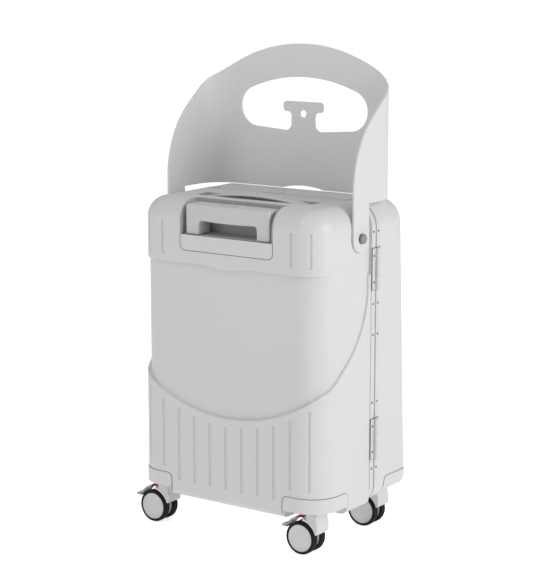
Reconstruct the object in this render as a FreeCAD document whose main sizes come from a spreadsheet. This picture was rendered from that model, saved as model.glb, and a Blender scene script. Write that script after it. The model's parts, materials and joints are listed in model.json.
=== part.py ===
"""Ride-on suitcase: a hard case on four casters with a fold-over seat guard.

Lengths are in millimetres. The case is drawn with x = 0 on its symmetry plane, y = 0 on
the seam between its two halves and z = 0 on the floor. The handle side faces -Y. Every
node is moved by one shared offset at the end, so the origin is the middle of the base.
"""
import FreeCAD
import Part
import Sketcher
import math
import os

Vector = FreeCAD.Vector
doc = FreeCAD.newDocument("RideOnSuitcase")
sheet = doc.addObject("Spreadsheet::Sheet", "Sizes")

SIZES = [
    # Case shell
    ("case_half", 183.0), ("rear_half", "case_half - 4.5"), ("case_top", 550.0),
    ("case_base", 62.0), ("band_back", 150.0), ("recess_back", "band_back - 4.6"),
    ("front_top_depth", "front_base_depth - 24"), ("front_base_depth", 108.0),
    ("shell_wall", 3.0), ("back_corner", 45.0), ("top_round", 34.0), ("base_round", 12.0),
    ("side_top_round", 40.0), ("side_base_round", 30.0), ("front_round", 18.0),
    ("band_base", "case_top - 100"), ("band_dip", 5.0), ("dip_half", 37.0),
    ("waist", 4.0), ("waist_start", 72.0),
    # Seam frame
    ("frame_depth", 12.0), ("seam_gap", 0.4), ("frame_lip", 2.0), ("lip_depth", 16.0),
    ("frame_proud", 0.5), ("rivet_round", 1.9), ("rivet_proud", 0.5),
    ("lining_wall", 1.2), ("lining_round", 32.0), ("lining_edge", 12.0),
    # Skirt and grooves
    ("skirt_half", "case_half - 0.6"), ("skirt_back", "band_back + 1.4"),
    ("skirt_top", "band_base - 10"), ("skirt_gap", 1.6),
    ("groove_pitch", "case_half * 31.2 / 183"), ("groove_round", 3.4),
    ("groove_deep", 2.5), ("front_groove", 1.5), ("groove_base", "case_base + 28"),
    ("groove_side_base", "case_base + 48"), ("groove_drop", 14.0),
    # Seat guard, drawn folded down
    ("guard_half", "case_half"), ("guard_back", "band_back + 1.8"), ("guard_wall", 3.6),
    ("guard_corner", "back_corner + guard_wall"), ("guard_top", "band_base - 4.6"),
    ("pivot_back", 42.0), ("pivot_high", "case_top - 51.6"), ("arm_round", 22.0),
    ("guard_low", "case_base + 146"), ("guard_arc", "guard_half * 287 / 183"),
    ("guard_slope_back", "guard_back - 10.5"), ("guard_slope_high", "guard_low + 48.5"),
    ("guard_slope", 0.8), ("guard_bend", 147.0), ("cut_half", "guard_half - 59"),
    ("cut_low", "guard_low + 54"), ("cut_top", "cut_low + 88"), ("cut_side", "cut_low + 51"),
    ("cut_end", 33.0), ("tab_neck", 23.5), ("tab_flare", 12.0), ("tab_half", 39.5),
    ("tab_low", "cut_low + 40"), ("tab_high", "cut_low + 57"), ("tab_hole", 6.0),
    ("crease_half", "guard_half * 105 / 183"), ("crease_low", "guard_top - 27.4"),
    ("crease_deep", 0.6), ("bush_round", 7.0), ("bolt_round", 4.0), ("bolt_head", 7.6),
    ("head_thick", 6.0),
    # Trolley
    ("well_half", "tube_side + 22"), ("well_base", "case_top - 80"),
    ("well_floor", "case_top - 54"), ("well_back", "band_back - 45"), ("well_wall", 2.0),
    ("well_corner", 9.5), ("tube_side", "case_half * 68 / 183"),
    ("tube_back", "band_back - 20"), ("sleeve_wide", 24.0), ("sleeve_deep", 20.0),
    ("tube_wall", 1.2), ("tube_gap", 0.6), ("tube_corner", 5.0),
    ("sleeve_base", "case_base + 16"), ("mid_base", "sleeve_base + 72"),
    ("inner_base", "mid_base + 40"), ("grip_half", "tube_side + 13"), ("grip_leg", 25.0),
    ("grip_deep", 32.0), ("grip_bar", 26.0), ("grip_base", "well_floor + 0.8"),
    ("grip_top", "case_top - 5"), ("grip_round", 6.0), ("button_half", 20.5),
    ("button_deep", 10.0), ("button_gap", 0.3), ("rod_round", 2.5),
    # Carry handle
    ("tray_half", "case_half * 112 / 183"), ("tray_back", "band_back - 66"),
    ("tray_front", "tray_back - 36"), ("tray_floor", "case_top - 14"),
    ("strap_half", "tray_half - 6"), ("strap_wide", 24.0), ("strap_thick", 4.5),
    ("strap_end", "case_top - 4"), ("strap_bow", "case_top + 7"),
    # Hinges and latch
    ("hinge_out", 4.2), ("hinge_round", 3.4), ("hinge_long", 66.0), ("hinge_pin", 1.5),
    ("hinge_high", "case_top - 104"), ("hinge_low", "case_base + 108"),
    ("leaf_thick", 1.2), ("leaf_wide", 11.0), ("latch_low", "case_base + 183"),
    ("latch_high", "latch_low + 64"), ("latch_thick", 2.4), ("lever_thick", 3.4),
    # Corner pads and casters
    ("pad_wide", 73.0), ("pad_deep", 76.0), ("pad_room", 0.4), ("pad_wall", 2.5),
    ("pad_round", 9.0), ("pad_top", "case_base + 37"), ("pad_under", "case_base + 13"),
    ("pad_proud", 0.8), ("caster_side", "case_half - 35"),
    ("caster_back", "band_back - 38"), ("caster_front", "front_base_depth - 40"),
    ("caster_trail", 20.0), ("wheel_round", 27.0), ("hub_round", "wheel_round - 4.8"),
    ("wheel_in", 4.6), ("wheel_out", 17.6), ("axle_round", 3.0), ("stem_round", 6.0),
    ("run_gap", 0.05), ("fender_in", "wheel_round + 2.6"), ("fender_out", "fender_in + 3.8"),
    ("neck_round", 15.0), ("brake_reach", 37.0), ("brake_ahead", 6.5),
    ("brake_above", "fender_out + 1.6"), ("brake_pin", 1.9),
]


class Dim:
    """A length that carries its number and the sheet expression it comes from."""

    def __init__(self, value, text):
        self.value = value
        self.text = text

    def join(self, other, sign, value, swap=False):
        other = as_dim(other)
        left, right = (other, self) if swap else (self, other)
        return Dim(value, "(%s %s %s)" % (left.text, sign, right.text))

    def __add__(self, other):
        return self.join(other, "+", self.value + number(other))

    def __radd__(self, other):
        return self.join(other, "+", number(other) + self.value, True)

    def __sub__(self, other):
        return self.join(other, "-", self.value - number(other))

    def __rsub__(self, other):
        return self.join(other, "-", number(other) - self.value, True)

    def __mul__(self, other):
        return self.join(other, "*", self.value * number(other))

    def __rmul__(self, other):
        return self.join(other, "*", number(other) * self.value, True)

    def __truediv__(self, other):
        return self.join(other, "/", self.value / number(other))

    def __neg__(self):
        return Dim(-self.value, "(0 - %s)" % self.text)


def number(size):
    return size.value if isinstance(size, Dim) else float(size)


def as_dim(size):
    return size if isinstance(size, Dim) else Dim(float(size), "%.6f" % float(size))


class Sizes:
    """Gives each cell of the sheet by its name."""


S = Sizes()
for row, (alias, value) in enumerate(SIZES, start=1):
    sheet.set("A%d" % row, alias)
    sheet.setAlias("B%d" % row, alias)
for row, (alias, value) in enumerate(SIZES, start=1):
    sheet.set("B%d" % row, "=%s" % value)
doc.recompute()
for alias, value in SIZES:
    setattr(S, alias, Dim(float(sheet.get(alias)), "Sizes.%s" % alias))

NODES = {}
PLANES = {"XY": "XY_Plane", "XZ": "XZ_Plane", "YZ": "YZ_Plane"}
TURNS = {
    "X": FreeCAD.Rotation(Vector(0, 1, 0), 90),
    "Y": FreeCAD.Rotation(Vector(1, 0, 0), -90),
    "Z": FreeCAD.Rotation(),
}


def bind(item, path, size):
    """Binds one property of an object to a sheet expression."""
    item.setExpression(path, as_dim(size).text)


def place(item, base):
    """Binds the position of an object to three sheet expressions."""
    for axis, size in zip("xyz", base):
        bind(item, "Placement.Base.%s" % axis, size)


def check(item):
    """Stops the build where an object has no sound shape."""
    doc.recompute()
    bad = "Invalid" in item.State or "Error" in item.State
    if bad or item.Shape.isNull() or not item.Shape.isValid():
        raise RuntimeError("%s has no sound shape: %s" % (item.Label, item.State))
    return item


def fix(sketch, kind, place_on, size):
    """Adds one sizing constraint to a sketch and binds it to the sheet."""
    index = sketch.addConstraint(Sketcher.Constraint(kind, *place_on, number(size)))
    name = "size%d" % index
    sketch.renameConstraint(index, name)
    bind(sketch, "Constraints.%s" % name, size)


def new_sketch(body, plane, offset):
    """Makes a sketch on one of the body's own planes, moved along its normal."""
    sketch = body.newObject("Sketcher::SketchObject", body.Name + "_sketch")
    for part in body.Origin.OriginFeatures:
        if part.Role == PLANES[plane]:
            sketch.AttachmentSupport = [(part, "")]
    sketch.MapMode = "FlatFace"
    bind(sketch, "AttachmentOffset.Base.z", offset)
    return sketch


def draw(sketch, points):
    """Draws a closed outline. A point is (a, b), or (a, b, radius, turn) where the edge to
    the next point is an arc: turn 1 bulges to the right of the way of travel, -1 left."""
    ends = []
    for index, point in enumerate(points):
        after = points[(index + 1) % len(points)]
        one = Vector(number(point[0]), number(point[1]), 0)
        two = Vector(number(after[0]), number(after[1]), 0)
        if len(point) == 2:
            edge = sketch.addGeometry(Part.LineSegment(one, two))
            ends.append((edge, 1, 2))
            continue
        chord = two - one
        middle = (one + two) * 0.5
        side = Vector(chord.y, -chord.x, 0).normalize() * point[3]
        radius = number(point[2])
        rise = radius - math.sqrt(max(radius * radius - chord.Length ** 2 / 4, 0))
        edge = sketch.addGeometry(Part.Arc(one, middle + side * rise, two))
        swapped = (sketch.getPoint(edge, 1) - one).Length > 0.01
        ends.append((edge, 2, 1) if swapped else (edge, 1, 2))
    for index, (edge, first, last) in enumerate(ends):
        after = ends[(index + 1) % len(ends)]
        sketch.addConstraint(Sketcher.Constraint("Coincident", edge, last, after[0], after[1]))
    for (edge, first, last), point in zip(ends, points):
        fix(sketch, "DistanceX", (edge, first), point[0])
        fix(sketch, "DistanceY", (edge, first), point[1])
        if len(point) > 2:
            fix(sketch, "Radius", (edge,), point[2])


def prism(name, plane, points, low, high):
    """A body padded from an outline, between two heights along the plane's axis."""
    body = doc.addObject("PartDesign::Body", name)
    offset = -as_dim(high) if plane == "XZ" else low
    sketch = new_sketch(body, plane, offset)
    draw(sketch, points)
    pad = body.newObject("PartDesign::Pad", name + "_pad")
    pad.Profile = sketch
    bind(pad, "Length", as_dim(high) - low)
    sketch.Visibility = False
    body.Tip = pad
    return check(body)


def box(name, xs, ys, zs):
    """A plain block between pairs of sizes."""
    item = doc.addObject("Part::Box", name)
    for path, (low, high) in zip(("Length", "Width", "Height"), (xs, ys, zs)):
        bind(item, path, as_dim(high) - low)
    place(item, (xs[0], ys[0], zs[0]))
    return check(item)


def rod(name, radius, axis, base, length):
    """A round bar along one axis, starting at a point."""
    item = doc.addObject("Part::Cylinder", name)
    bind(item, "Radius", radius)
    bind(item, "Height", length)
    item.Placement.Rotation = TURNS[axis]
    place(item, base)
    return check(item)


def soften(body, name, test, radius):
    """Rounds the edges of a body that pass a test on their middle and their direction."""
    base = body.Tip
    names = []
    for index, edge in enumerate(base.Shape.Edges, start=1):
        first, last = edge.ParameterRange
        middle = edge.valueAt((first + last) / 2)
        along = edge.tangentAt((first + last) / 2)
        if test(middle, along):
            names.append("Edge%d" % index)
    if not names:
        raise RuntimeError("%s finds no edge to round" % name)
    item = body.newObject("PartDesign::Fillet", name)
    item.Base = (base, names)
    bind(item, "Radius", radius)
    body.Tip = item
    check(item)
    return check(body)


def cut(name, base, tools):
    """Takes a list of tools away from a base."""
    tool = tools[0] if len(tools) == 1 else join(name + "_tools", tools)
    item = doc.addObject("Part::Cut", name)
    item.Base = base
    item.Tool = tool
    return check(item)


def join(name, items):
    item = doc.addObject("Part::MultiFuse", name)
    item.Shapes = items
    return check(item)


def common(name, items):
    item = doc.addObject("Part::MultiCommon", name)
    item.Shapes = items
    return check(item)


def group(name, items):
    """Separate solids kept as one node."""
    item = doc.addObject("Part::Compound", name)
    item.Links = items
    return check(item)


def copy(name, item, base, turn=0, axis=Vector(0, 0, 1)):
    """A copy of an object at another place."""
    made = doc.addObject("Part::Compound", name)
    made.Links = [item]
    made.Placement.Rotation = FreeCAD.Rotation(axis, turn)
    place(made, base)
    return check(made)


def node(name, item, base=(0.0, 0.0, 0.0)):
    """Names a finished piece and where it stands before the shared offset."""
    item.Label = name
    NODES[name] = (item, base)
    return item


def near(one, two, room=0.6):
    return abs(one - number(two)) < room


def upright(middle, along):
    return abs(along.z) > 0.99


# The shared offset that puts the origin under the middle of the whole object.
reach_left = S.caster_side + S.caster_trail + S.brake_reach
reach_right = S.case_half + S.hinge_out + S.hinge_round
SHIFT_X = (reach_left - reach_right) / 2
SHIFT_Y = (S.skirt_back + S.pad_proud - S.front_base_depth - S.pad_proud) / 2


def plan_block(name, half, back, front, low, high, corner):
    """A block that is rounded at its two rear upright corners."""
    points = [(-half, front), (-half, -back), (half, -back), (half, front)]
    body = prism(name, "XY", points, low, high)
    edge_y = number(-back)
    test = lambda middle, along: upright(middle, along) and near(middle.y, edge_y)
    return soften(body, name + "_corners", test, corner)


def waisted_block(name, half, back, front, low, high, corner):
    """The same block, drawn in along an arc on each side towards its rear corners."""
    run = back - S.waist_start
    arc = (run * run + S.waist * S.waist) / (2 * S.waist)
    rear = half - S.waist
    points = [(-half, front), (-half, -S.waist_start, arc, 1), (-rear, -back), (rear, -back, arc, 1),
              (half, -S.waist_start), (half, front)]
    body = prism(name, "XY", points, low, high)
    edge_y = number(-back)
    test = lambda middle, along: upright(middle, along) and near(middle.y, edge_y)
    return soften(body, name + "_corners", test, corner)


def round_top(body, name, level, front, radius):
    """Rounds the outer edges of a block at one level, but not the edge on the seam."""
    seam = number(front)
    test = lambda middle, along: near(middle.z, level) and not near(middle.y, seam)
    return soften(body, name, test, radius)


# Rear half: core, band, skirt.
shell_edge = -S.frame_depth
core = waisted_block("core", S.rear_half, S.recess_back, shell_edge, S.case_base,
                     S.case_top - S.top_round - 1, S.back_corner)
round_top(core, "core_base", S.case_base, shell_edge, S.base_round)
band = plan_block("band", S.rear_half, S.band_back, shell_edge, S.band_base,
                  S.case_top, S.back_corner)
round_top(band, "band_top", S.case_top, shell_edge, S.top_round)


def dip_arc(half):
    """The radius of the arc that hangs one dip below a chord."""
    return (half * half + S.band_dip * S.band_dip) / (2 * S.band_dip)


dip = prism("dip", "XZ", [(-S.dip_half, S.band_base, dip_arc(S.dip_half), 1),
                          (S.dip_half, S.band_base), (S.dip_half, S.band_base + 2),
                          (-S.dip_half, S.band_base + 2)],
            -S.band_back, -S.recess_back + 1)


def skirt_block(name, proud, high):
    made = plan_block(name, S.skirt_half + proud, S.skirt_back + proud, shell_edge,
                      S.case_base, high, S.back_corner + 3)
    return round_top(made, name + "_base", S.case_base, shell_edge, S.base_round)


slope_run = S.guard_slope_back - S.pivot_back + S.arm_round
corner_high = S.guard_slope_high + S.guard_slope * slope_run
bend_angle = math.atan(number(S.guard_slope))
bend_long = S.guard_bend * math.tan((math.pi / 2 - bend_angle) / 2)


def guard_zone(name, gap):
    """The space of the folded guard, seen from the back and from the side, grown by a gap."""
    low = S.guard_low - gap
    reach = S.case_half + 20
    rise = S.guard_arc - math.sqrt(number(S.guard_arc) ** 2 - number(reach) ** 2)
    top = S.case_top + 40
    face = prism(name + "_face", "XZ", [(-reach, low + rise, S.guard_arc, 1), (reach, low + rise),
                                        (reach, top), (-reach, top)], -300.0, 60.0)
    front = S.arm_round - S.pivot_back + gap
    start = corner_high - gap
    far = 230.0
    floor = S.guard_low - 80
    side = prism(name + "_side", "YZ",
                 [(-as_dim(far), floor), (-S.guard_slope_back, floor),
                  (-S.guard_slope_back, S.guard_slope_high - gap),
                  (front - bend_long * math.cos(bend_angle),
                   start - bend_long * math.sin(bend_angle), S.guard_bend, 1),
                  (front, start + bend_long), (front, top), (-as_dim(far), top)],
                 -300.0, 300.0)
    return common(name, [face, side])


skirt = cut("skirt", skirt_block("skirt_solid", 0.0, S.skirt_top),
            [guard_zone("skirt_zone", S.skirt_gap)])
cavity_back = S.recess_back - S.shell_wall
cavity = waisted_block("cavity", S.rear_half - S.shell_wall, cavity_back, shell_edge + 20,
                       S.case_base + S.shell_wall, S.case_top - S.shell_wall,
                       S.back_corner - S.shell_wall)
round_top(cavity, "cavity_top", S.case_top - S.shell_wall, shell_edge + 20,
          S.top_round - S.shell_wall)
well = prism("well", "XZ", [(-S.well_half, S.well_base), (S.well_half, S.well_base),
                            (S.well_half, S.case_top + 20), (-S.well_half, S.case_top + 20)],
             -S.band_back - 20, -S.well_back)
soften(well, "well_corners", lambda middle, along: near(middle.z, S.well_base)
       and abs(along.y) > 0.99, S.well_corner)
tray_hole = box("tray_hole", (-S.tray_half, S.tray_half), (-S.tray_back, -S.tray_front),
                (S.case_top - 30, S.case_top + 10))


def groove(name, x, low, high, half, back, corner, face_sign, deep):
    """A round-bottomed flute, a bar with round ends laid along an upright face."""
    over = abs(number(x)) - (number(half) - number(corner))
    angle = math.asin(over / number(corner)) if over > 0 else 0.0
    out = S.groove_round - deep
    across = out * math.sin(angle)
    inward = corner * (1 - math.cos(angle)) - out * math.cos(angle)
    side = 1 if number(x) >= 0 else -1
    base = (x + across * side, face_sign * (back - inward), low)
    bar = doc.addObject("Part::Cylinder", name)
    bind(bar, "Radius", S.groove_round)
    bind(bar, "Height", high - low)
    place(bar, base)
    check(bar)
    ends = doc.addObject("Part::Fillet", name + "_ends")
    ends.Base = bar
    tips = [i for i, e in enumerate(bar.Shape.Edges, start=1) if abs(e.valueAt(0).z
            - e.valueAt(1).z) < 0.01 and e.Length > 10]
    ends.Edges = [(i, number(S.groove_round) * 0.8, number(S.groove_round) * 0.8) for i in tips]
    return check(ends)


def skirt_groove_top(x):
    """The height a set drop below the guard's lower edge, at one distance from the middle."""
    rise = number(S.guard_arc) - math.sqrt(number(S.guard_arc) ** 2 - number(x) ** 2)
    return S.guard_low - S.groove_drop + rise


flutes = []
for step in range(-5, 6):
    x = S.groove_pitch * step
    low = S.groove_base if abs(step) < 4 else S.groove_side_base
    flutes.append(groove("flute%d" % (step + 5), x, low, skirt_groove_top(x), S.skirt_half,
                         S.skirt_back, S.back_corner + 3, -1, S.groove_deep))
for index, step in enumerate((-5, -4, 4, 5)):
    flutes.append(groove("band_flute%d" % index, S.groove_pitch * step, S.band_base + 11,
                         S.case_top - S.top_round, S.rear_half, S.band_back, S.back_corner, -1,
                         S.groove_deep))


def pad_box(name, side, rear, room=0.0):
    """The space of one corner pad, rounded over its two inner sides, with room left there."""
    deep = S.pad_deep + room
    xs = (S.case_half - S.pad_wide - room, S.case_half + 8)
    ys = (-S.skirt_back - 8, -S.skirt_back + deep) if rear else (
        S.front_base_depth - deep, S.front_base_depth + 8)
    inner_y = ys[1] if rear else ys[0]
    if side < 0:
        xs = (-xs[1], -xs[0])
    inner_x = xs[0] if side > 0 else xs[1]
    low = S.case_base - 8
    high = S.pad_top + room
    points = [(xs[0], ys[0]), (xs[1], ys[0]), (xs[1], ys[1]), (xs[0], ys[1])]
    body = prism(name, "XY", points, low, high)
    level = number(high)
    return soften(body, name + "_shoulders", lambda middle, along: near(middle.z, level)
                  and (near(middle.x, inner_x) or near(middle.y, inner_y)), S.pad_round)


def pivot_hole(name, radius, side, start, end):
    base = start if side > 0 else -end
    return rod(name, radius, "X", (base, -S.pivot_back, S.pivot_high), end - start)


sides = (("left", -1), ("right", 1))
rear_cuts = [cavity, well, tray_hole] + flutes
rear_cuts += [pad_box("rear_pad_space_" + word, side, True) for word, side in sides]
rear_cuts += [pivot_hole("bolt_hole_" + word, S.bolt_round, side, S.rear_half - 8,
                         S.rear_half + 8) for word, side in sides]
rear_solid = join("rear_solid", [core, band, dip, skirt])
node("rear_shell", cut("rear_shell", rear_solid, rear_cuts))


def front_block(name, inset, start):
    """The front half as a solid: a sloping front face with rounded edges all round."""
    high = S.case_top - inset
    low = S.case_base + inset
    body = prism(name, "YZ", [(start, low), (S.front_base_depth - inset, low),
                              (S.front_top_depth - inset, high), (start, high)],
                 -S.case_half + inset, S.case_half - inset)
    level = number(high)
    soften(body, name + "_shoulders", lambda middle, along: abs(along.y) > 0.99
           and near(middle.z, level), S.side_top_round - inset)
    level_low = number(low)
    soften(body, name + "_feet", lambda middle, along: abs(along.y) > 0.99
           and near(middle.z, level_low), S.side_base_round - inset)
    lean = number(S.front_base_depth - S.front_top_depth) / number(S.case_top - S.case_base)

    def on_front(middle, along):
        face = number(S.front_base_depth - inset) - lean * (middle.z - level_low)
        return near(middle.y, face)

    return soften(body, name + "_front", on_front, S.front_round - inset)


front_solid = front_block("front_solid", as_dim(0.0), S.frame_depth)
front_cavity = front_block("front_cavity", S.shell_wall, S.frame_depth - 6)
lean_angle = math.degrees(math.atan(number(S.front_base_depth - S.front_top_depth)
                                    / number(S.case_top - S.case_base)))
front_flutes = []
for step in range(-4, 5):
    x = S.groove_pitch * step
    low = S.groove_side_base
    bar = groove("front_flute%d" % (step + 4), x, low, S.case_top - 50, S.case_half,
                 S.front_base_depth, S.front_round, 1, S.front_groove)
    bar.Placement.Rotation = FreeCAD.Rotation()
    front_flutes.append(bar)
front_set = join("front_flutes", front_flutes)
front_set.Placement = FreeCAD.Placement(
    Vector(), FreeCAD.Rotation(Vector(1, 0, 0), lean_angle),
    Vector(0, number(S.front_base_depth), number(S.case_base)))
check(front_set)
front_cuts = [front_cavity, front_set]
front_cuts += [pad_box("front_pad_space_" + word, side, False) for word, side in sides]
node("front_shell", cut("front_shell", front_solid, front_cuts))


def frame_ring(name, sign):
    """One half of the seam frame: a strip flush with the case and a lip inside its wall."""
    def block(tag, inset, reach):
        half = S.case_half - inset
        low = S.case_base + inset
        high = S.case_top - inset
        points = [(-half, low), (half, low), (half, high), (-half, high)]
        ends = (S.seam_gap, reach) if sign > 0 else (-as_dim(reach), -S.seam_gap)
        body = prism(name + tag, "XZ", points, *ends)
        level = number(high)
        soften(body, name + tag + "_top", lambda middle, along: abs(along.y) > 0.99
               and near(middle.z, level), S.side_top_round - inset)
        level_low = number(low)
        return soften(body, name + tag + "_base", lambda middle, along: abs(along.y) > 0.99
                      and near(middle.z, level_low), S.side_base_round - inset)

    inner = S.case_half - S.rear_half + S.shell_wall + 0.3 if sign < 0 else S.shell_wall + 0.3
    strip = block("_strip", -S.frame_proud, S.frame_depth)
    lip = block("_lip", inner, S.frame_depth + S.lip_depth)
    bore = block("_bore", inner + S.frame_lip, S.frame_depth + S.lip_depth + 5)
    return cut(name, join(name + "_solid", [strip, lip]), [bore])


node("rear_frame", frame_ring("rear_frame", -1))
node("front_frame", frame_ring("front_frame", 1))


# Corner pads with the bore of the caster stem.
def pads(name, rear):
    made = []
    depth = -S.caster_back if rear else S.caster_front
    for word, side in sides:
        tag = name + "_" + word
        skin = skirt_block(tag + "_skin", S.pad_proud, S.pad_top + 40) if rear else front_block(
            tag + "_skin", -S.pad_proud, S.frame_depth)
        piece = common(tag + "_piece", [pad_box(tag + "_box", side, rear), skin])
        inner = S.case_half - S.pad_wide + S.pad_wall
        deep = S.pad_deep - S.pad_wall
        xs = (inner, 300.0) if side > 0 else (-300.0, -inner)
        ys = (-300.0, -S.skirt_back + deep) if rear else (S.front_base_depth - deep, 300.0)
        under = box(tag + "_under", xs, ys, (0.0, S.pad_under))
        bore = rod(tag + "_bore", S.stem_round + S.run_gap, "Z",
                   (S.caster_side * side, depth, S.pad_under - 5), 20.0)
        made.append(cut(tag, piece, [under, bore]))
    return group(name, made)


node("rear_pads", pads("rear_pads", True))
node("front_pads", pads("front_pads", False))

# Linings: thin boards faced with cloth, cut out round the corner pads.
def rear_tray(name, inset, mouth):
    """The space inside the rear lining: clear of the frame's lip, the trays and the well."""
    lip = S.case_half - S.rear_half + S.shell_wall + S.frame_lip + 0.6 + inset
    high = S.tray_floor - 2.4 - inset
    low = S.case_base + lip
    half = S.case_half - lip
    points = [(-half, low), (half, low), (half, high), (-half, high)]
    back = S.well_back - 0.4 - inset
    body = prism(name, "XZ", points, -back, mouth)
    soften(body, name + "_sides", lambda middle, along: abs(along.y) > 0.99,
           S.lining_round - inset)
    depth = number(-back)
    return soften(body, name + "_back", lambda middle, along: near(middle.y, depth),
                  S.lining_edge - inset)


front_in = S.shell_wall + S.frame_lip + 0.6
linings = (("lining_rear", True, rear_tray("lining_rear_out", as_dim(0.0), -S.seam_gap - 1),
            rear_tray("lining_rear_in", S.lining_wall, as_dim(6.0))),
           ("lining_front", False, front_block("lining_front_out", front_in, S.seam_gap + 1),
            front_block("lining_front_in", front_in + S.lining_wall, as_dim(-6.0))))
for name, rear, outer, inner in linings:
    spaces = [pad_box("%s_%s" % (name, word), side, rear, S.pad_room) for word, side in sides]
    node(name, cut(name, outer, [inner] + spaces))

# Seat guard, drawn folded down and then turned over its pivots.
guard_outer = plan_block("guard_outer", S.guard_half, S.guard_back, as_dim(0.0),
                         S.guard_low - 20, S.pivot_high + S.arm_round + 10, S.guard_corner)
guard_inner = plan_block("guard_inner", S.guard_half - S.guard_wall, S.guard_back - S.guard_wall,
                         as_dim(5.0), S.guard_low - 30, S.pivot_high + S.arm_round + 20,
                         S.guard_corner - S.guard_wall)
arm_front = S.arm_round - S.pivot_back
arm_back = -S.arm_round - S.pivot_back
far_back = -S.guard_back - 20
side_low = S.guard_low - 60
arms = prism("guard_arms", "YZ",
             [(far_back, side_low), (arm_front, side_low),
              (arm_front, S.pivot_high, S.arm_round, 1),
              (-S.pivot_back, S.pivot_high + S.arm_round, S.arm_round, 1),
              (arm_back, S.pivot_high),
              (arm_back, S.guard_top), (far_back, S.guard_top)], -300.0, 300.0)
notch_half = S.dip_half + 3
notch = prism("guard_notch", "XZ",
              [(-notch_half, S.guard_top, dip_arc(notch_half), 1), (notch_half, S.guard_top),
               (notch_half, S.guard_top + 5), (-notch_half, S.guard_top + 5)],
              -S.guard_back - 5, -S.guard_back + 30)
# The window: two round ends joined below by one large arc that is tangent to both.
end_x = S.cut_half - S.cut_end
end_drop = S.cut_side - S.cut_low - S.cut_end
arc_up = (end_x * end_x - end_drop * end_drop) / (2 * end_drop)
cut_arc = arc_up + S.cut_side - S.cut_low
touch_x = cut_arc * end_x / (cut_arc - S.cut_end)
touch_z = S.cut_side + arc_up - cut_arc * arc_up / (cut_arc - S.cut_end)
flare_x = S.tab_neck + S.tab_flare
window = prism("guard_window", "XZ",
               [(-touch_x, touch_z, cut_arc, 1), (touch_x, touch_z, S.cut_end, 1),
                (S.cut_half, S.cut_side, S.cut_end, 1), (end_x, S.cut_side + S.cut_end),
                (flare_x, S.cut_top), (-flare_x, S.cut_top),
                (-end_x, S.cut_side + S.cut_end, S.cut_end, 1),
                (-S.cut_half, S.cut_side, S.cut_end, 1)],
               -S.guard_back - 5, -S.guard_back + 30)
flare_low = S.cut_top - S.tab_flare
tab = prism("guard_tab", "XZ",
            [(-S.tab_half, S.tab_low), (S.tab_half, S.tab_low), (S.tab_half, S.tab_high),
             (S.tab_neck, S.tab_high), (S.tab_neck, flare_low, S.tab_flare, -1),
             (flare_x, S.cut_top), (flare_x, S.cut_top + 5), (-flare_x, S.cut_top + 5),
             (-flare_x, S.cut_top, S.tab_flare, -1), (-S.tab_neck, flare_low),
             (-S.tab_neck, S.tab_high), (-S.tab_half, S.tab_high)],
            -S.guard_back - 8, -S.guard_back + 40)
soften(tab, "tab_ends", lambda middle, along: abs(along.y) > 0.99
       and near(abs(middle.x), S.tab_half), (S.tab_high - S.tab_low) * 0.36)
soften(tab, "tab_necks", lambda middle, along: abs(along.y) > 0.99
       and near(abs(middle.x), S.tab_neck) and near(middle.z, S.tab_high), 7.0)
tab_hole = rod("tab_hole_bar", S.tab_hole, "Y",
               (as_dim(0.0), -S.guard_back - 5, S.tab_high + 3), 30.0)
crease_rise = S.guard_top - S.crease_low
crease_arc = (S.crease_half * S.crease_half + crease_rise * crease_rise) / (2 * crease_rise)
crease = prism("guard_crease", "XZ",
               [(-S.crease_half, S.guard_top, crease_arc, 1), (S.crease_half, S.guard_top),
                (S.crease_half, S.guard_top + 9), (-S.crease_half, S.guard_top + 9)],
               -S.guard_back - 6, -S.guard_back + S.crease_deep)
arm_holes = [pivot_hole("arm_hole_" + word, S.bush_round, side, S.guard_half - 10,
                        S.guard_half + 5) for word, side in sides]
guard_skin = cut("guard_skin", guard_outer, [guard_inner])
guard_form = common("guard_form", [guard_skin, guard_zone("guard_space", 0.0), arms])
window_open = cut("window_open", window, [tab])
guard_folded = cut("guard_folded", guard_form,
                   [window_open, tab_hole, notch, crease] + arm_holes)
bushes_folded = group("bushes_folded", [
    cut("bush_" + word, pivot_hole("bush_solid_" + word, S.bush_round, side,
                                   S.guard_half - S.guard_wall - 0.3, S.guard_half + 0.2),
        [pivot_hole("bush_bore_" + word, S.bolt_round + S.run_gap, side,
                    S.guard_half - 12, S.guard_half + 8)]) for word, side in sides])
over = (0.0, S.pivot_back * -2, S.pivot_high * 2)
for name, item in (("seat_guard", guard_folded), ("guard_bushes", bushes_folded)):
    node(name, copy(name, item, (0.0, 0.0, 0.0), 180, Vector(1, 0, 0)), over)

bolts = []
plates = []
for word, side in sides:
    shank = pivot_hole("bolt_shank_" + word, S.bolt_round, side, S.rear_half - 5.5,
                       S.guard_half + 1)
    cap = pivot_hole("bolt_cap_" + word, S.bolt_head, side, S.guard_half + 0.4,
                     S.guard_half + 0.4 + S.head_thick)
    bolts.append(join("bolt_" + word, [shank, cap]))
    disc = pivot_hole("plate_disc_" + word, S.bolt_head * 1.7, side,
                      S.rear_half - S.shell_wall - 2.5, S.rear_half - S.shell_wall)
    plates.append(cut("plate_" + word, disc, [pivot_hole("plate_bore_" + word, S.bolt_round,
                                                         side, S.rear_half - 12,
                                                         S.rear_half + 5)]))
node("pivot_bolts", group("pivot_bolts", bolts))
node("pivot_plates", group("pivot_plates", plates))


# Trolley: a well in the case, sleeves, two telescopic stages and the grip.
def pair(name, make):
    """The same piece at both tubes."""
    return group(name, [make(name + "_" + word, S.tube_side * side) for word, side in sides])


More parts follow.
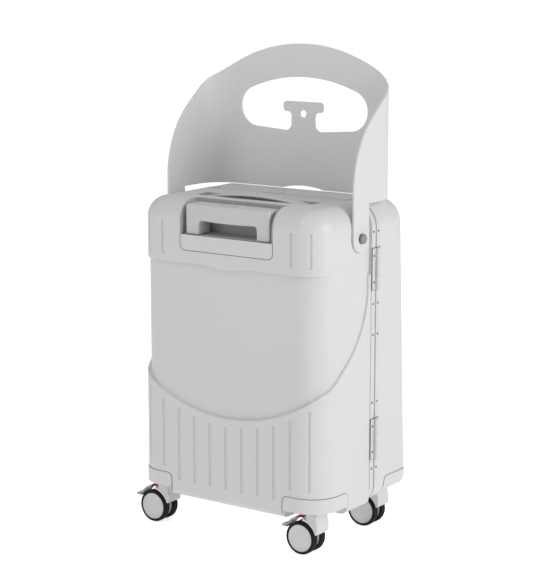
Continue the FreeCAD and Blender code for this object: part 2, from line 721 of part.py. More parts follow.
def oblong(name, x, wide, deep, low, high, corner):
    """An upright bar with a rounded oblong section, centred on a tube."""
    points = [(x - wide / 2, -S.tube_back - deep / 2), (x + wide / 2, -S.tube_back - deep / 2),
              (x + wide / 2, -S.tube_back + deep / 2), (x - wide / 2, -S.tube_back + deep / 2)]
    return soften(prism(name, "XY", points, low, high), name + "_round", upright, corner)


def tube(name, x, wide, deep, wall, low, high, corner):
    solid = oblong(name + "_solid", x, wide, deep, low, high, corner)
    bore = oblong(name + "_bore", x, wide - 2 * wall, deep - 2 * wall, low - 5, high + 5,
                  corner - wall)
    return cut(name, solid, [bore])


shrink = 2 * S.tube_wall + 2 * S.tube_gap
mid_wide = S.sleeve_wide - shrink
mid_deep = S.sleeve_deep - shrink
inner_wide = mid_wide - shrink
inner_deep = mid_deep - shrink
step_in = S.tube_wall + S.tube_gap
sleeve_top = S.well_floor - 6
node("trolley_sleeves", pair("trolley_sleeves", lambda name, x: tube(
    name, x, S.sleeve_wide, S.sleeve_deep, S.tube_wall, S.sleeve_base, sleeve_top,
    S.tube_corner)))
node("mid_tubes", pair("mid_tubes", lambda name, x: tube(
    name, x, mid_wide, mid_deep, S.tube_wall, S.mid_base, S.well_floor - 1,
    S.tube_corner - step_in + 1)))
leg_socket = S.grip_base + 20
node("inner_tubes", pair("inner_tubes", lambda name, x: tube(
    name, x, inner_wide, inner_deep, S.tube_wall, S.inner_base, leg_socket,
    S.tube_corner - 2 * step_in + 2)))


def collar(name, x):
    solid = oblong(name + "_solid", x, S.sleeve_wide - 1, S.sleeve_deep - 1, sleeve_top + 0.5,
                   S.well_floor - 0.2, S.tube_corner)
    bore = oblong(name + "_bore", x, mid_wide, mid_deep, sleeve_top - 5, S.well_floor - 1,
                  S.tube_corner - step_in + 1)
    way = oblong(name + "_way", x, inner_wide + 2 * S.tube_gap, inner_deep + 2 * S.tube_gap,
                 sleeve_top - 8, S.well_floor + 5, S.tube_corner - 2 * step_in + 2)
    return cut(name, solid, [bore, way])


node("tube_collars", pair("tube_collars", collar))
cup_room = 0.1
cup_block = prism("cup_block", "XZ",
                  [(-S.well_half + cup_room, sleeve_top), (S.well_half - cup_room, sleeve_top),
                   (S.well_half - cup_room, S.case_top + 10),
                   (-S.well_half + cup_room, S.case_top + 10)],
                  -S.band_back - 10, -S.well_back - cup_room)
cup_outer = common("cup_outer", [cup_block, band])
cup_space = box("cup_space", (-S.well_half + S.well_wall, S.well_half - S.well_wall),
                (-S.band_back - 20, -S.well_back - S.well_wall),
                (S.well_floor, S.case_top + 30))
cup_ways = [oblong("cup_way_" + word, S.tube_side * side, S.sleeve_wide, S.sleeve_deep,
                   sleeve_top - 10, S.well_floor + 10, S.tube_corner) for word, side in sides]
bezel_back = S.band_back - 9
bezel = prism("handle_bezel", "XZ",
              [(-S.well_half + 0.4, S.well_base + 0.4), (S.well_half - 0.4, S.well_base + 0.4),
               (S.well_half - 0.4, S.well_floor), (-S.well_half + 0.4, S.well_floor)],
              -S.band_back, -bezel_back)
soften(bezel, "bezel_corners", lambda middle, along: near(middle.z, S.well_base + 0.4)
       and abs(along.y) > 0.99, S.well_corner)
bezel_space = box("bezel_space", (-S.well_half, S.well_half), (-S.band_back - 20, -bezel_back),
                  (S.well_base, S.well_floor))
node("handle_cup", cut("handle_cup", cup_outer, [cup_space, bezel_space] + cup_ways))
node("handle_bezel", bezel)
foot = box("foot_block", (-S.tube_side - 22, S.tube_side + 22), (-cavity_back, -S.tube_back + 14),
           (S.case_base + S.shell_wall, S.sleeve_base + 14))
foot_ways = [oblong("foot_way_" + word, S.tube_side * side, S.sleeve_wide, S.sleeve_deep,
                    S.sleeve_base, S.sleeve_base + 40, S.tube_corner) for word, side in sides]
node("trolley_foot", cut("trolley_foot", foot, foot_ways))

leg_in = S.grip_half - S.grip_leg
bar_low = S.grip_top - S.grip_bar
grip_solid = prism("grip_solid", "XZ",
                   [(-S.grip_half, S.grip_base), (-leg_in, S.grip_base),
                    (-leg_in, bar_low, 900.0, 1), (leg_in, bar_low), (leg_in, S.grip_base),
                    (S.grip_half, S.grip_base), (S.grip_half, S.grip_top),
                    (-S.grip_half, S.grip_top)],
                   -S.tube_back - S.grip_deep / 2, -S.tube_back + S.grip_deep / 2)
soften(grip_solid, "grip_edges", lambda middle, along: abs(along.y) > 0.99
       and (near(middle.z, S.grip_top) or near(middle.z, bar_low)), S.grip_round)
soften(grip_solid, "grip_faces", lambda middle, along: near(abs(middle.y + number(S.tube_back)),
       S.grip_deep / 2) and middle.z > number(S.grip_base) + 1, 3.0)
sockets = [oblong("grip_socket_" + word, S.tube_side * side, inner_wide, inner_deep,
                  S.grip_base - 5, leg_socket, S.tube_corner - 2 * step_in + 2)
           for word, side in sides]
bar_mid = S.grip_base + 32
channel = box("grip_channel", (-S.tube_side - 4, S.tube_side + 4),
              (-S.tube_back - 4, -S.tube_back + 4), (bar_mid - 5, bar_mid + 5))
drops = [rod("grip_drop_" + word, S.rod_round + 1, "Z",
             (S.tube_side * side, -S.tube_back, S.grip_base), 34.0) for word, side in sides]
button_hole = box("button_hole", (-S.button_half - S.button_gap, S.button_half + S.button_gap),
                  (-S.tube_back - S.button_deep / 2 - S.button_gap,
                   -S.tube_back + S.button_deep / 2 + S.button_gap),
                  (bar_mid - 1, S.grip_top + 5))
node("grip", cut("grip", grip_solid, sockets + drops + [channel, button_hole]))
button = box("button", (-S.button_half, S.button_half),
             (-S.tube_back - S.button_deep / 2, -S.tube_back + S.button_deep / 2),
             (bar_mid + 2, S.grip_top + 1.2))
node("release_button", group("release_button", [button]))
rod_bar = box("rod_bar", (-S.tube_side - 2.5, S.tube_side + 2.5),
              (-S.tube_back - 2.5, -S.tube_back + 2.5), (bar_mid - 2, bar_mid + 2))
rods = [rod("rod_" + word, S.rod_round, "Z", (S.tube_side * side, -S.tube_back,
                                              S.inner_base + 12), bar_mid - S.inner_base - 12)
        for word, side in sides]
node("release_rods", join("release_rods", [rod_bar] + rods))

# Carry handle in a tray on top.
tray_outer = common("tray_outer", [box("tray_block", (-S.tray_half + 0.1, S.tray_half - 0.1),
                                       (-S.tray_back + 0.1, -S.tray_front - 0.1),
                                       (S.tray_floor - 2, S.case_top + 5)), band])
tray_space = box("tray_space", (-S.tray_half + 2, S.tray_half - 2),
                 (-S.tray_back + 2, -S.tray_front - 2), (S.tray_floor, S.case_top + 20))
node("carry_tray", cut("carry_tray", tray_outer, [tray_space]))
strap_mid = (S.tray_back + S.tray_front) / 2
bow = S.strap_bow - S.strap_end
strap_arc = (S.strap_half * S.strap_half + bow * bow) / (2 * bow)
strap = prism("strap", "XZ",
              [(-S.strap_half, S.strap_end - S.strap_thick, strap_arc, -1),
               (S.strap_half, S.strap_end - S.strap_thick), (S.strap_half, S.strap_end, strap_arc, 1),
               (-S.strap_half, S.strap_end)],
              -strap_mid - S.strap_wide / 2, -strap_mid + S.strap_wide / 2)
posts = [box("strap_post_" + word, (S.strap_half * side - 7 - 7 * side, S.strap_half * side + 7 - 7 * side),
             (-strap_mid - 8, -strap_mid + 8), (S.tray_floor + 0.2, S.strap_end - 1))
         for word, side in sides]
node("carry_handle", join("carry_handle", [strap] + posts))

# Hinges on the right of the seam.
pin_x = S.case_half + S.hinge_out


def hinge(name, high, front):
    """One leaf with its knuckles: the two end thirds on the rear, the middle on the front."""
    third = S.hinge_long / 3
    low = high - S.hinge_long / 2
    sign = 1 if front else -1
    start = S.case_half + S.frame_proud
    near_y = S.seam_gap + 0.3
    ys = (near_y, near_y + S.leaf_wide) if front else (-near_y - S.leaf_wide, -near_y)
    leaf = box(name + "_leaf", (start, start + S.leaf_thick), ys, (low, low + S.hinge_long))
    gap = 0.2
    spans = [(low + third + gap, low + third * 2 - gap)] if front else [
        (low, low + third - gap), (low + third * 2 + gap, low + S.hinge_long)]
    clear = [(low - 1, low + third + gap), (low + third * 2 - gap, low + S.hinge_long + 1)]
    if not front:
        clear = [(low + third - gap, low + third * 2 + gap)]
    made = [leaf]
    for index, (bottom, top) in enumerate(spans):
        made.append(rod("%s_knuckle%d" % (name, index), S.hinge_round, "Z",
                        (pin_x, 0.0, bottom), top - bottom))
        made.append(box("%s_web%d" % (name, index), (start, pin_x),
                        (0.0, near_y + 2) if front else (-near_y - 2, 0.0), (bottom, top)))
    solid = join(name + "_solid", made)
    away = [rod("%s_away%d" % (name, index), S.hinge_round + 0.4, "Z", (pin_x, 0.0, bottom),
                top - bottom) for index, (bottom, top) in enumerate(clear)]
    face = box(name + "_face", (start - 9, start), (-30.0, 30.0), (low - 2, low + S.hinge_long + 2))
    bore = rod(name + "_bore", S.hinge_pin + (S.run_gap if front else 0.0), "Z",
               (pin_x, 0.0, low - 5), S.hinge_long + 10)
    return cut(name, solid, away + [face, bore])


levels = (("high", S.hinge_high), ("low", S.hinge_low))
for front, word in ((False, "rear"), (True, "front")):
    node("hinge_leaves_" + word, group("hinge_leaves_" + word, [
        hinge("hinge_%s_%s" % (word, tag), level, front) for tag, level in levels]))
node("hinge_pins", group("hinge_pins", [
    rod("hinge_pin_" + tag, S.hinge_pin, "Z", (pin_x, 0.0, level - S.hinge_long / 2),
        S.hinge_long) for tag, level in levels]))

# Latch on the left of the seam.
latch_face = S.case_half + S.frame_proud
latch_out = latch_face + S.latch_thick
base_plate = box("latch_plate", (-latch_out, -latch_face),
                 (-S.frame_depth - 4, -S.seam_gap - 0.2), (S.latch_low, S.latch_high))
node("latch_base", group("latch_base", [base_plate]))
keeper = box("keeper_plate", (-latch_out, -latch_face), (S.seam_gap + 0.2, S.frame_depth + 1),
             (S.latch_low + 8, S.latch_high - 8))
node("latch_keeper", group("latch_keeper", [keeper]))
lever = prism("latch_lever", "XY",
              [(-latch_out - S.lever_thick, -S.frame_depth - 3.5),
               (-latch_out - 0.15, -S.frame_depth - 3.5), (-latch_out - 0.15, S.frame_depth),
               (-latch_out - S.lever_thick, S.frame_depth - 2)],
              S.latch_low + 2, S.latch_high - 2)
lever_end = number(-S.frame_depth - 3.5)
soften(lever, "lever_end", lambda middle, along: upright(middle, along)
       and near(middle.y, lever_end), (S.lever_thick - 0.15) * 0.49)
node("latch_lever", soften(lever, "lever_tip", lambda middle, along: upright(middle, along)
                           and middle.y > 5 and near(middle.x, -latch_out - S.lever_thick), 1.5))

# Rivets of the seam frame.
rivet_shares = (0.908, 0.672, 0.57, 0.344, 0.121)
rivet_levels = [S.case_base + (S.case_top - S.case_base) * share for share in rivet_shares]
rivet_side = S.case_half - 53


def rivets(name, y):
    made = []
    long = S.rivet_proud + 2.6
    for word, side in sides:
        for index, level in enumerate(rivet_levels):
            if side < 0 and number(S.latch_low) < number(level) < number(S.latch_high):
                continue
            start = S.case_half + S.frame_proud - 2.6
            base = start if side > 0 else -start - long
            made.append(rod("%s_%s%d" % (name, word, index), S.rivet_round, "X",
                            (base, y, level), long))
        for tag, level in levels:
            for index, offset in enumerate((-21.0, 21.0)):
                if side < 0:
                    continue
                start = S.case_half + S.frame_proud
                made.append(rod("%s_%s_%s%d" % (name, word, tag, index), S.rivet_round, "X",
                                (start - 2.6, y, level + offset),
                                2.6 + S.leaf_thick + S.rivet_proud))
    for index, x in enumerate((-rivet_side, as_dim(0.0), rivet_side)):
        made.append(rod("%s_top%d" % (name, index), S.rivet_round, "Z",
                        (x, y, S.case_top + S.frame_proud - 2.6), long))
    return made


def seated(name, frame_node, leaves, y):
    """Rivets as one node, with their seats cut in the frame and the hinge leaves."""
    made = rivets(name, y)
    seats = group(name + "_seats", made)
    for key in (frame_node, leaves):
        blank, base = NODES[key]
        blank.Label = key + "_blank"
        node(key, cut(key + "_seated", blank, [seats]), base)
    return node(name, group(name, made))


rivet_y = S.seam_gap + 6.6
seated("rivets_rear", "rear_frame", "hinge_leaves_rear", -rivet_y)
seated("rivets_front", "front_frame", "hinge_leaves_front", rivet_y)

# One caster, drawn with its swivel axis on z and its axle trailing to -X.
axle_x = -S.caster_trail
axle_z = S.wheel_round


def sector(name, low, high, start, end, half):
    """A piece of a ring round the axle, between two radii and two angles in degrees."""
    def at(radius, angle):
        turn = math.radians(angle)
        return axle_x + radius * math.cos(turn), axle_z + radius * math.sin(turn)

    return prism(name, "XZ", [at(low, start) + (low, 1), at(low, end), at(high, end) + (high, -1),
                              at(high, start)], -as_dim(half), as_dim(half))


fork_half = S.wheel_in - 0.6
neck_top = S.pad_under - 0.4
web = prism("fork_web", "XZ",
            [(axle_x - 7, axle_z - 7), (axle_x + 7, axle_z - 7), (axle_x + 30, axle_z + 16),
             (axle_x + 30, neck_top - 4), (axle_x + 6, neck_top - 4), (axle_x - 7, axle_z + 8)],
            -fork_half, fork_half)
fender = sector("fork_fender", S.fender_in, S.fender_out, 18, 84, S.wheel_out - 1)
neck = rod("fork_neck", S.neck_round, "Z", (0.0, 0.0, neck_top - 4), as_dim(4.0))
# The cowl hangs from the neck behind the wheels: a waist under the neck, then a full back.
tail = math.radians(18)
crown = math.radians(68)
tail_in = (axle_x + S.fender_in * math.cos(tail), axle_z + S.fender_in * math.sin(tail))
tail_out = (axle_x + S.fender_out * math.cos(tail), axle_z + S.fender_out * math.sin(tail))
crown_in = (axle_x + S.fender_in * math.cos(crown), axle_z + S.fender_in * math.sin(crown))
cowl_side = prism("cowl_side", "XZ",
                  [tail_in + (S.fender_in, 1), crown_in, (crown_in[0], neck_top - 2),
                   (S.neck_round - 3, neck_top - 2, 24.0, 1),
                   (S.neck_round - 4, neck_top - 16, 42.0, -1), tail_out],
                  -S.wheel_out + 1, S.wheel_out - 1)
cowl_front = prism("cowl_front", "YZ",
                   [(-S.wheel_out + 1, axle_z), (S.wheel_out - 1, axle_z),
                    (S.wheel_out - 1, axle_z + 20, 30.0, 1), (S.neck_round - 3, neck_top),
                    (-S.neck_round + 3, neck_top, 30.0, 1), (-S.wheel_out + 1, axle_z + 20)],
                   as_dim(-60.0), as_dim(60.0))
cowl = common("fork_cowl", [cowl_side, cowl_front])
brake_x = axle_x + S.brake_ahead
brake_z = axle_z + S.brake_above
cheek_half = fork_half + 3
fork_bores = [rod("fork_axle_bore", S.axle_round + S.run_gap, "Y", (axle_x, as_dim(-30.0), axle_z),
                  60.0),
              rod("fork_stem_bore", S.stem_round, "Z", (0.0, 0.0, neck_top - 12), 40.0),
              rod("fork_brake_bore", S.brake_pin + S.run_gap, "Y", (brake_x, as_dim(-30.0), brake_z),
                  60.0)]
fork = cut("fork_master", join("fork_solid", [web, fender, neck, cowl]), fork_bores)
stem = rod("stem_master", S.stem_round, "Z", (0.0, 0.0, neck_top - 12), S.pad_under + 14 - neck_top + 12)
axle = rod("axle_master", S.axle_round, "Y", (axle_x, -S.wheel_out + 2, axle_z), 2 * S.wheel_out - 4)


def wheel(name, side):
    start = S.wheel_in if side > 0 else -S.wheel_out
    wide = S.wheel_out - S.wheel_in
    tyre_solid = rod(name + "_tread", S.wheel_round, "Y", (axle_x, start, axle_z), wide)
    seat = rod(name + "_seat", S.hub_round, "Y", (axle_x, start - 5, axle_z), wide + 10)
    tyre = cut(name + "_tyre", tyre_solid, [seat])
    disc = rod(name + "_disc", S.hub_round, "Y", (axle_x, start + 0.4, axle_z), wide - 0.8)
    bore = rod(name + "_bore", S.axle_round, "Y",
               (axle_x, start - 2 if side > 0 else start + 2, axle_z), wide)
    return tyre, cut(name + "_hub", disc, [bore])


tyre_left, hub_left = wheel("wheel_near", -1)
tyre_right, hub_right = wheel("wheel_far", 1)
masters = [("fork", fork), ("stem", stem), ("axle", axle),
           ("tyres", group("tyres_master", [tyre_left, tyre_right])),
           ("hubs", group("hubs_master", [hub_left, hub_right]))]
lever_arc = sector("pedal_arc", S.fender_in + 1, S.fender_out + 1, 106, 148, S.wheel_out - 6)
pedal_tab = box("pedal_tab", (axle_x - S.brake_reach, axle_x - S.brake_reach + 10),
                (-S.wheel_out + 4, S.wheel_out - 4), (axle_z + 13, axle_z + 17))
brake_lever = join("brake_lever_master", [lever_arc, pedal_tab])
shoe = sector("brake_shoe_arc", S.fender_in + 1.4, S.fender_out + 2, 90, 106, cheek_half)
cheeks = sector("brake_cheek_arc", S.fender_out + 0.6, S.fender_out + 4, 77, 93, cheek_half)
cheek_way = sector("brake_cheek_way", S.fender_out - 6, S.fender_out + 9, 70, 90, fork_half + 0.4)
brake_bar = rod("brake_bar", S.brake_pin, "Y", (brake_x, -cheek_half, brake_z), cheek_half * 2)
brake_pad = join("brake_pad_master", [shoe, cut("brake_cheeks", cheeks, [cheek_way]), brake_bar])
corners = [("rear_left", -1, True), ("rear_right", 1, True),
           ("front_left", -1, False), ("front_right", 1, False)]
for word, side, rear in corners:
    base = (S.caster_side * side, -S.caster_back if rear else S.caster_front, 0.0)
    extra = [("brake_lever", brake_lever), ("brake_shoe", brake_pad)] if rear else []
    for kind, item in masters + extra:
        name = "%s_%s" % (kind, word)
        node(name, copy(name, item, (0.0, 0.0, 0.0)), base)

# Every node is moved by the shared offset, checked and written out.
os.makedirs("parts", exist_ok=True)
shift = (SHIFT_X, SHIFT_Y, as_dim(0.0))
for name, (item, base) in NODES.items():
    place(item, [as_dim(start) + move for start, move in zip(base, shift)])
doc.recompute()
for name, (item, base) in NODES.items():
    check(item)
    item.Label = name
    item.Shape.exportStep("parts/%s.step" % name)
print("nodes", len(NODES), "solids", sum(len(item.Shape.Solids) for item, base in NODES.values()))
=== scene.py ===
import json
import math

import bmesh
import bpy
import numpy as np
from bpy.props import FloatProperty, FloatVectorProperty, IntProperty, PointerProperty
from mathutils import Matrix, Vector, geometry


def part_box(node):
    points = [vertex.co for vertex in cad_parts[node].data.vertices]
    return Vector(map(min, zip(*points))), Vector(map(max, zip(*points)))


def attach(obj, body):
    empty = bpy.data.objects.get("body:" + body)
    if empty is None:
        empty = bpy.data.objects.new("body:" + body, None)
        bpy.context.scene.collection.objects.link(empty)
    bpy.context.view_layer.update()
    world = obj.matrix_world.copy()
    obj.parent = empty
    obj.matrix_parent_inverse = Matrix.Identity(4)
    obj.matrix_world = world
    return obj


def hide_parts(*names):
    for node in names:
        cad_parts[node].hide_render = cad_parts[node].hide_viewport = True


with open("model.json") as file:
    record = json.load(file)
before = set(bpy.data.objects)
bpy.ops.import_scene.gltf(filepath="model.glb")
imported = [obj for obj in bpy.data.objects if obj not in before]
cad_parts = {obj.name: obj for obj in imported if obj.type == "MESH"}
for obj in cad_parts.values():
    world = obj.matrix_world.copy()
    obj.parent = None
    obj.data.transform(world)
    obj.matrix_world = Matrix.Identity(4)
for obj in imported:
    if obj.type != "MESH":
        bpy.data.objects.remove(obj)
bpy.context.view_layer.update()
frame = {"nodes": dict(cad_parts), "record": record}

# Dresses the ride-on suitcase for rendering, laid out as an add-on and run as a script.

bl_info = {
    "name": "Ride-on suitcase",
    "version": (1, 0, 0),
    "blender": (4, 5, 0),
    "location": "3D View > Sidebar > Suitcase",
    "description": "Builds the visible surfaces of a ride-on suitcase over its solid parts",
    "category": "Object",
}

CASTERS = ("rear_left", "rear_right", "front_left", "front_right")

MERGE = 2e-6        # points nearer to each other than this, in metres, are one
FLAT = 0.5          # faces that meet at a smaller angle, in degrees, are joined
SHARP = 32.0        # edges that turn by more than this, in degrees, are rounded
ROOM_SHARE = 0.42   # the share of the room beside an edge that its rounding may take
RIM_SHARE = 0.8     # the same share for the rim of the skirt
RIM_RUN = 0.3       # the share of a run's edges that makes it a rim
LEAST_SHARE = 0.15  # a rounding smaller than this share of the full one is left out
CLEAR = 2.2         # an edge stays crisp where the next one is nearer than so many roundings
FOLDED = 2e-7       # a triangle counts as folded from this much area on the wrong side
EASED = (0.004, 0.004, 0.02, 1.0, 1.0)  # the longest edge that each try at a fold may ease
JOINT_LEAST = 0.02  # a joint line of a corner pad that is shorter gets no thread


class SuitcaseSizes(bpy.types.PropertyGroup):
    """Sizes that a user may change."""
    edge: FloatProperty(name="Edge rounding", description="Rounding of the moulded edges",
                        default=0.0008, unit="LENGTH")
    guard_edge: FloatProperty(name="Guard edge", description="Rounding of the guard's rim",
                              default=0.0014, unit="LENGTH")
    strap_thick: FloatProperty(name="Strap", description="Thickness of the carry handle",
                               default=0.0045, unit="LENGTH")
    strap_bow: FloatProperty(name="Strap bow", description="Rise of the carry handle",
                             default=0.011, unit="LENGTH")
    rim_low: FloatProperty(name="Rim low", description="Lowest height of the skirt's rim",
                           default=0.19, unit="LENGTH")
    rim_high: FloatProperty(name="Rim high", description="Highest height of the skirt's rim",
                            default=0.443, unit="LENGTH")
    seam_top: FloatProperty(name="Seam top", description="Upper corner radius of the seam",
                            default=0.0405, unit="LENGTH")
    seam_foot: FloatProperty(name="Seam foot", description="Lower corner radius of the seam",
                             default=0.0305, unit="LENGTH")
    skirt_rim: FloatProperty(name="Skirt rim", description="Rounding of the skirt's upper rim",
                             default=0.0024, unit="LENGTH")
    seal_wide: FloatProperty(name="Seal", description="Width of the rubber seal in the seam",
                             default=0.0045, unit="LENGTH")
    # Painted shade: radius of the dark beads and threads laid round the hinge leaves, the bezel
    # and the pads.
    shade_bead: FloatProperty(name="Bead", description="Radius of the sealant round a hinge leaf",
                        default=0.0005, unit="LENGTH")
    leaf: FloatProperty(name="Hinge leaf", description="Width of a hinge leaf", default=0.011,
                        unit="LENGTH")
    bezel_corner: FloatProperty(name="Bezel corner", description="Corner radius of the bezel",
                                default=0.0095, unit="LENGTH")
    # Painted shade: half the width of the darker band painted on the frames round the seam.
    seam_shade_half: FloatProperty(name="Seam rail", description="Half the width of the grey seam rail",
                             default=0.0021, unit="LENGTH")
    knurls: IntProperty(name="Knurls", description="Teeth round a pivot bolt", default=30)
    lens: FloatProperty(name="Lens", description="Focal length of the camera", default=113.0,
                        unit="CAMERA")


class SuitcaseColours(bpy.types.PropertyGroup):
    """Colours that a user may change."""
    shell: FloatVectorProperty(name="Shell", description="Moulded shell", subtype="COLOR",
                               default=(0.72, 0.72, 0.725))
    guard: FloatVectorProperty(name="Guard", description="Seat guard", subtype="COLOR",
                               default=(0.73, 0.73, 0.735))
    frame: FloatVectorProperty(name="Frame", description="Painted seam frame", subtype="COLOR",
                               default=(0.70, 0.70, 0.705))
    trim: FloatVectorProperty(name="Trim", description="Grey trim", subtype="COLOR",
                              default=(0.48, 0.48, 0.485))
    grip: FloatVectorProperty(name="Grip", description="Grip and carry handle", subtype="COLOR",
                              default=(0.64, 0.64, 0.645))
    metal: FloatVectorProperty(name="Tubes", description="Anodised tubes", subtype="COLOR",
                               default=(0.62, 0.62, 0.63))
    dark: FloatVectorProperty(name="Dark metal", description="Bolts and rivets",
                              subtype="COLOR", default=(0.10, 0.10, 0.105))
    tyre: FloatVectorProperty(name="Tyres", description="Tyre rubber", subtype="COLOR",
                              default=(0.012, 0.012, 0.013))
    brake: FloatVectorProperty(name="Brake", description="Brake shoe", subtype="COLOR",
                               default=(0.45, 0.018, 0.02))


def sizes():
    """The sizes in the sidebar."""
    return bpy.context.scene.suitcase_sizes


def colours():
    """The colours in the sidebar."""
    return bpy.context.scene.suitcase_colours


# Materials


def finish(name, colour, rough, grain, bump, mottle=0.04, stretch=(1, 1, 1), metallic=0.0,
           specular=0.5, seam_shade=None):
    """A moulded or metal finish: two sizes of noise over the object's own coordinates vary the
    colour and the roughness, and the fine one also raises the grain. A seam shade, given as
    (y, half width, share), darkens the colour to a share of itself round a level of y: painted
    shade of the seam gap, laid into the colour."""
    if name in bpy.data.materials:
        return bpy.data.materials[name]
    material = bpy.data.materials.new(name)
    material.use_nodes = True
    tree = material.node_tree
    shader = tree.nodes["Principled BSDF"]
    shader.inputs["Metallic"].default_value = metallic
    shader.inputs["Specular IOR Level"].default_value = specular
    link = tree.links.new
    where = tree.nodes.new("ShaderNodeTexCoord")
    turn = tree.nodes.new("ShaderNodeMapping")
    turn.inputs["Scale"].default_value = stretch
    link(where.outputs["Object"], turn.inputs["Vector"])

    def noise(scale, detail):
        made = tree.nodes.new("ShaderNodeTexNoise")
        made.inputs["Scale"].default_value = scale
        made.inputs["Detail"].default_value = detail
        link(turn.outputs["Vector"], made.inputs["Vector"])
        return made.outputs["Fac"]

    def ramp(source, low, high, start=0.3, stop=0.7):
        made = tree.nodes.new("ShaderNodeMapRange")
        for key, value in (("From Min", start), ("From Max", stop), ("To Min", low),
                           ("To Max", high)):
            made.inputs[key].default_value = value
        link(source, made.inputs["Value"])
        return made.outputs["Result"]

    def sums(operation, *values):
        made = tree.nodes.new("ShaderNodeMath")
        made.operation = operation
        for socket, value in zip(made.inputs, values):
            if isinstance(value, float):
                socket.default_value = value
            else:
                link(value, socket)
        return made.outputs["Value"]

    broad = noise(9.0, 3.0)
    fine = noise(grain, 2.0)
    tint = tree.nodes.new("ShaderNodeMix")
    tint.data_type = "RGBA"
    tint.inputs["A"].default_value = (*[c * (1 - mottle) for c in colour], 1)
    tint.inputs["B"].default_value = (*[min(c * (1 + mottle), 1) for c in colour], 1)
    link(sums("ADD", ramp(broad, 0.0, 0.7), ramp(fine, 0.0, 0.3)), tint.inputs["Factor"])
    link(tint.outputs["Result"], shader.inputs["Base Color"])
    # Painted shade: the colour darkens to a share of itself in a band round the seam's level.
    if seam_shade:
        level, half, share = seam_shade
        parts = tree.nodes.new("ShaderNodeSeparateXYZ")
        link(where.outputs["Object"], parts.inputs["Vector"])
        gap = sums("ABSOLUTE", sums("SUBTRACT", parts.outputs["Y"], level))
        dim = tree.nodes.new("ShaderNodeVectorMath")
        dim.operation = "SCALE"
        link(tint.outputs["Result"], dim.inputs["Vector"])
        link(ramp(gap, share, 1.0, half, half * 1.15), dim.inputs["Scale"])
        link(dim.outputs["Vector"], shader.inputs["Base Color"])
    gloss = sums("ADD", ramp(broad, -0.03, 0.03), ramp(fine, rough - 0.04, rough + 0.04))
    link(gloss, shader.inputs["Roughness"])
    raised = tree.nodes.new("ShaderNodeBump")
    raised.inputs["Strength"].default_value = bump
    raised.inputs["Distance"].default_value = 0.0004
    link(fine, raised.inputs["Height"])
    link(raised.outputs["Normal"], shader.inputs["Normal"])
    return material


def cloth(name, colour):
    """A plain weave: bands across each of the object's three axes, the sum of which gives the
    threads their relief, so that every side of a lining shows two crossed sets."""
    if name in bpy.data.materials:
        return bpy.data.materials[name]
    material = finish(name, colour, 0.85, 500, 0.05, 0.06, specular=0.2)
    tree = material.node_tree
    shader = tree.nodes["Principled BSDF"]
    shader.inputs["Sheen Weight"].default_value = 0.25
    where = tree.nodes["Texture Coordinate"]
    threads = []
    pitch, share = 260.0, 0.6
    for way in ("X", "Z", "Y"):
        band = tree.nodes.new("ShaderNodeTexWave")
        band.bands_direction = way
        band.inputs["Scale"].default_value = pitch
        band.inputs["Distortion"].default_value = 0.6
        tree.links.new(where.outputs["Object"], band.inputs["Vector"])
        threads.append(band.outputs["Fac"])
    total = threads[0]
    for other in threads[1:]:
        more = tree.nodes.new("ShaderNodeMath")
        more.operation = "MULTIPLY_ADD"
        more.inputs[1].default_value = share
        tree.links.new(total, more.inputs[0])
        tree.links.new(other, more.inputs[2])
        total = more.outputs["Value"]
    raised = tree.nodes["Bump"]
    raised.inputs["Strength"].default_value = 0.5
    tree.links.new(total, raised.inputs["Height"])
    return material


def paint():
    """Every finish of the suitcase by its slot in the record, and two looks besides: the seam
    frames with painted shade darkening them round the seam, and the brushed bolts."""
    tone = colours()
    return {
        "shell_white": finish("moulded_shell", tone.shell, 0.36, 1400, 0.10, 0.015),
        "guard_white": finish("moulded_guard", tone.guard, 0.40, 1400, 0.10, 0.015),
        "frame_white": finish("painted_frame", tone.frame, 0.30, 900, 0.06, 0.02),
        # Painted shade: the seam frames darken to 0.63 of their colour near the seam.
        "frame_seam_shade": finish("railed_frame", tone.frame, 0.30, 900, 0.06, 0.02,
                             seam_shade=(seam_y(), sizes().seam_shade_half, 0.63)),
        "trim_grey": finish("trim_plastic", tone.trim, 0.48, 2200, 0.22, 0.05),
        "grip_grey": finish("grip_plastic", tone.grip, 0.44, 2200, 0.2, 0.04),
        "tube_metal": finish("anodised_tube", tone.metal, 0.32, 1600, 0.02, 0.02,
                             stretch=(1, 1, 0.03), metallic=0.9),
        "steel": finish("zinc_steel", (0.52, 0.52, 0.53), 0.34, 1200, 0.1, 0.08,
                        metallic=1.0),
        "bolt_metal": finish("brushed_bolt", (0.36, 0.36, 0.37), 0.42, 1500, 0.15, 0.1,
                             metallic=0.6),
        "dark_metal": finish("dark_plated", tone.dark, 0.30, 1500, 0.1, 0.1, metallic=0.7),
        "black_plastic": finish("black_moulded", (0.02, 0.02, 0.021), 0.45, 2000, 0.2, 0.1),
        "tyre_black": finish("tyre_rubber", tone.tyre, 0.62, 2600, 0.3, 0.15, specular=0.2),
        "hub_grey": finish("hub_plastic", (0.70, 0.70, 0.71), 0.4, 1800, 0.12, 0.03),
        "fork_white": finish("fork_plastic", (0.70, 0.70, 0.705), 0.38, 1600, 0.12, 0.02),
        "lining_grey": cloth("lining_cloth", (0.20, 0.205, 0.215)),
        "brake_red": finish("brake_plastic", tone.brake, 0.4, 1800, 0.15, 0.08),
    }


def seam_y():
    """Where the two halves meet, which is the level of the hinge pins."""
    return sum(corner[1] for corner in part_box("hinge_pins")) / 2


def slot_of(node):
    """The material slot that the record gives a node."""
    for entry in frame["record"]["subparts"]:
        if entry["node"] == node:
            return entry["material_slot"]
    raise RuntimeError("no slot for " + node)


def body_of(node):
    """The body that the record puts a node on."""
    for body, members in frame["record"]["behaviour"]["bodies"].items():
        if node in members:
            return body
    raise RuntimeError("no body for " + node)


# Surfaces


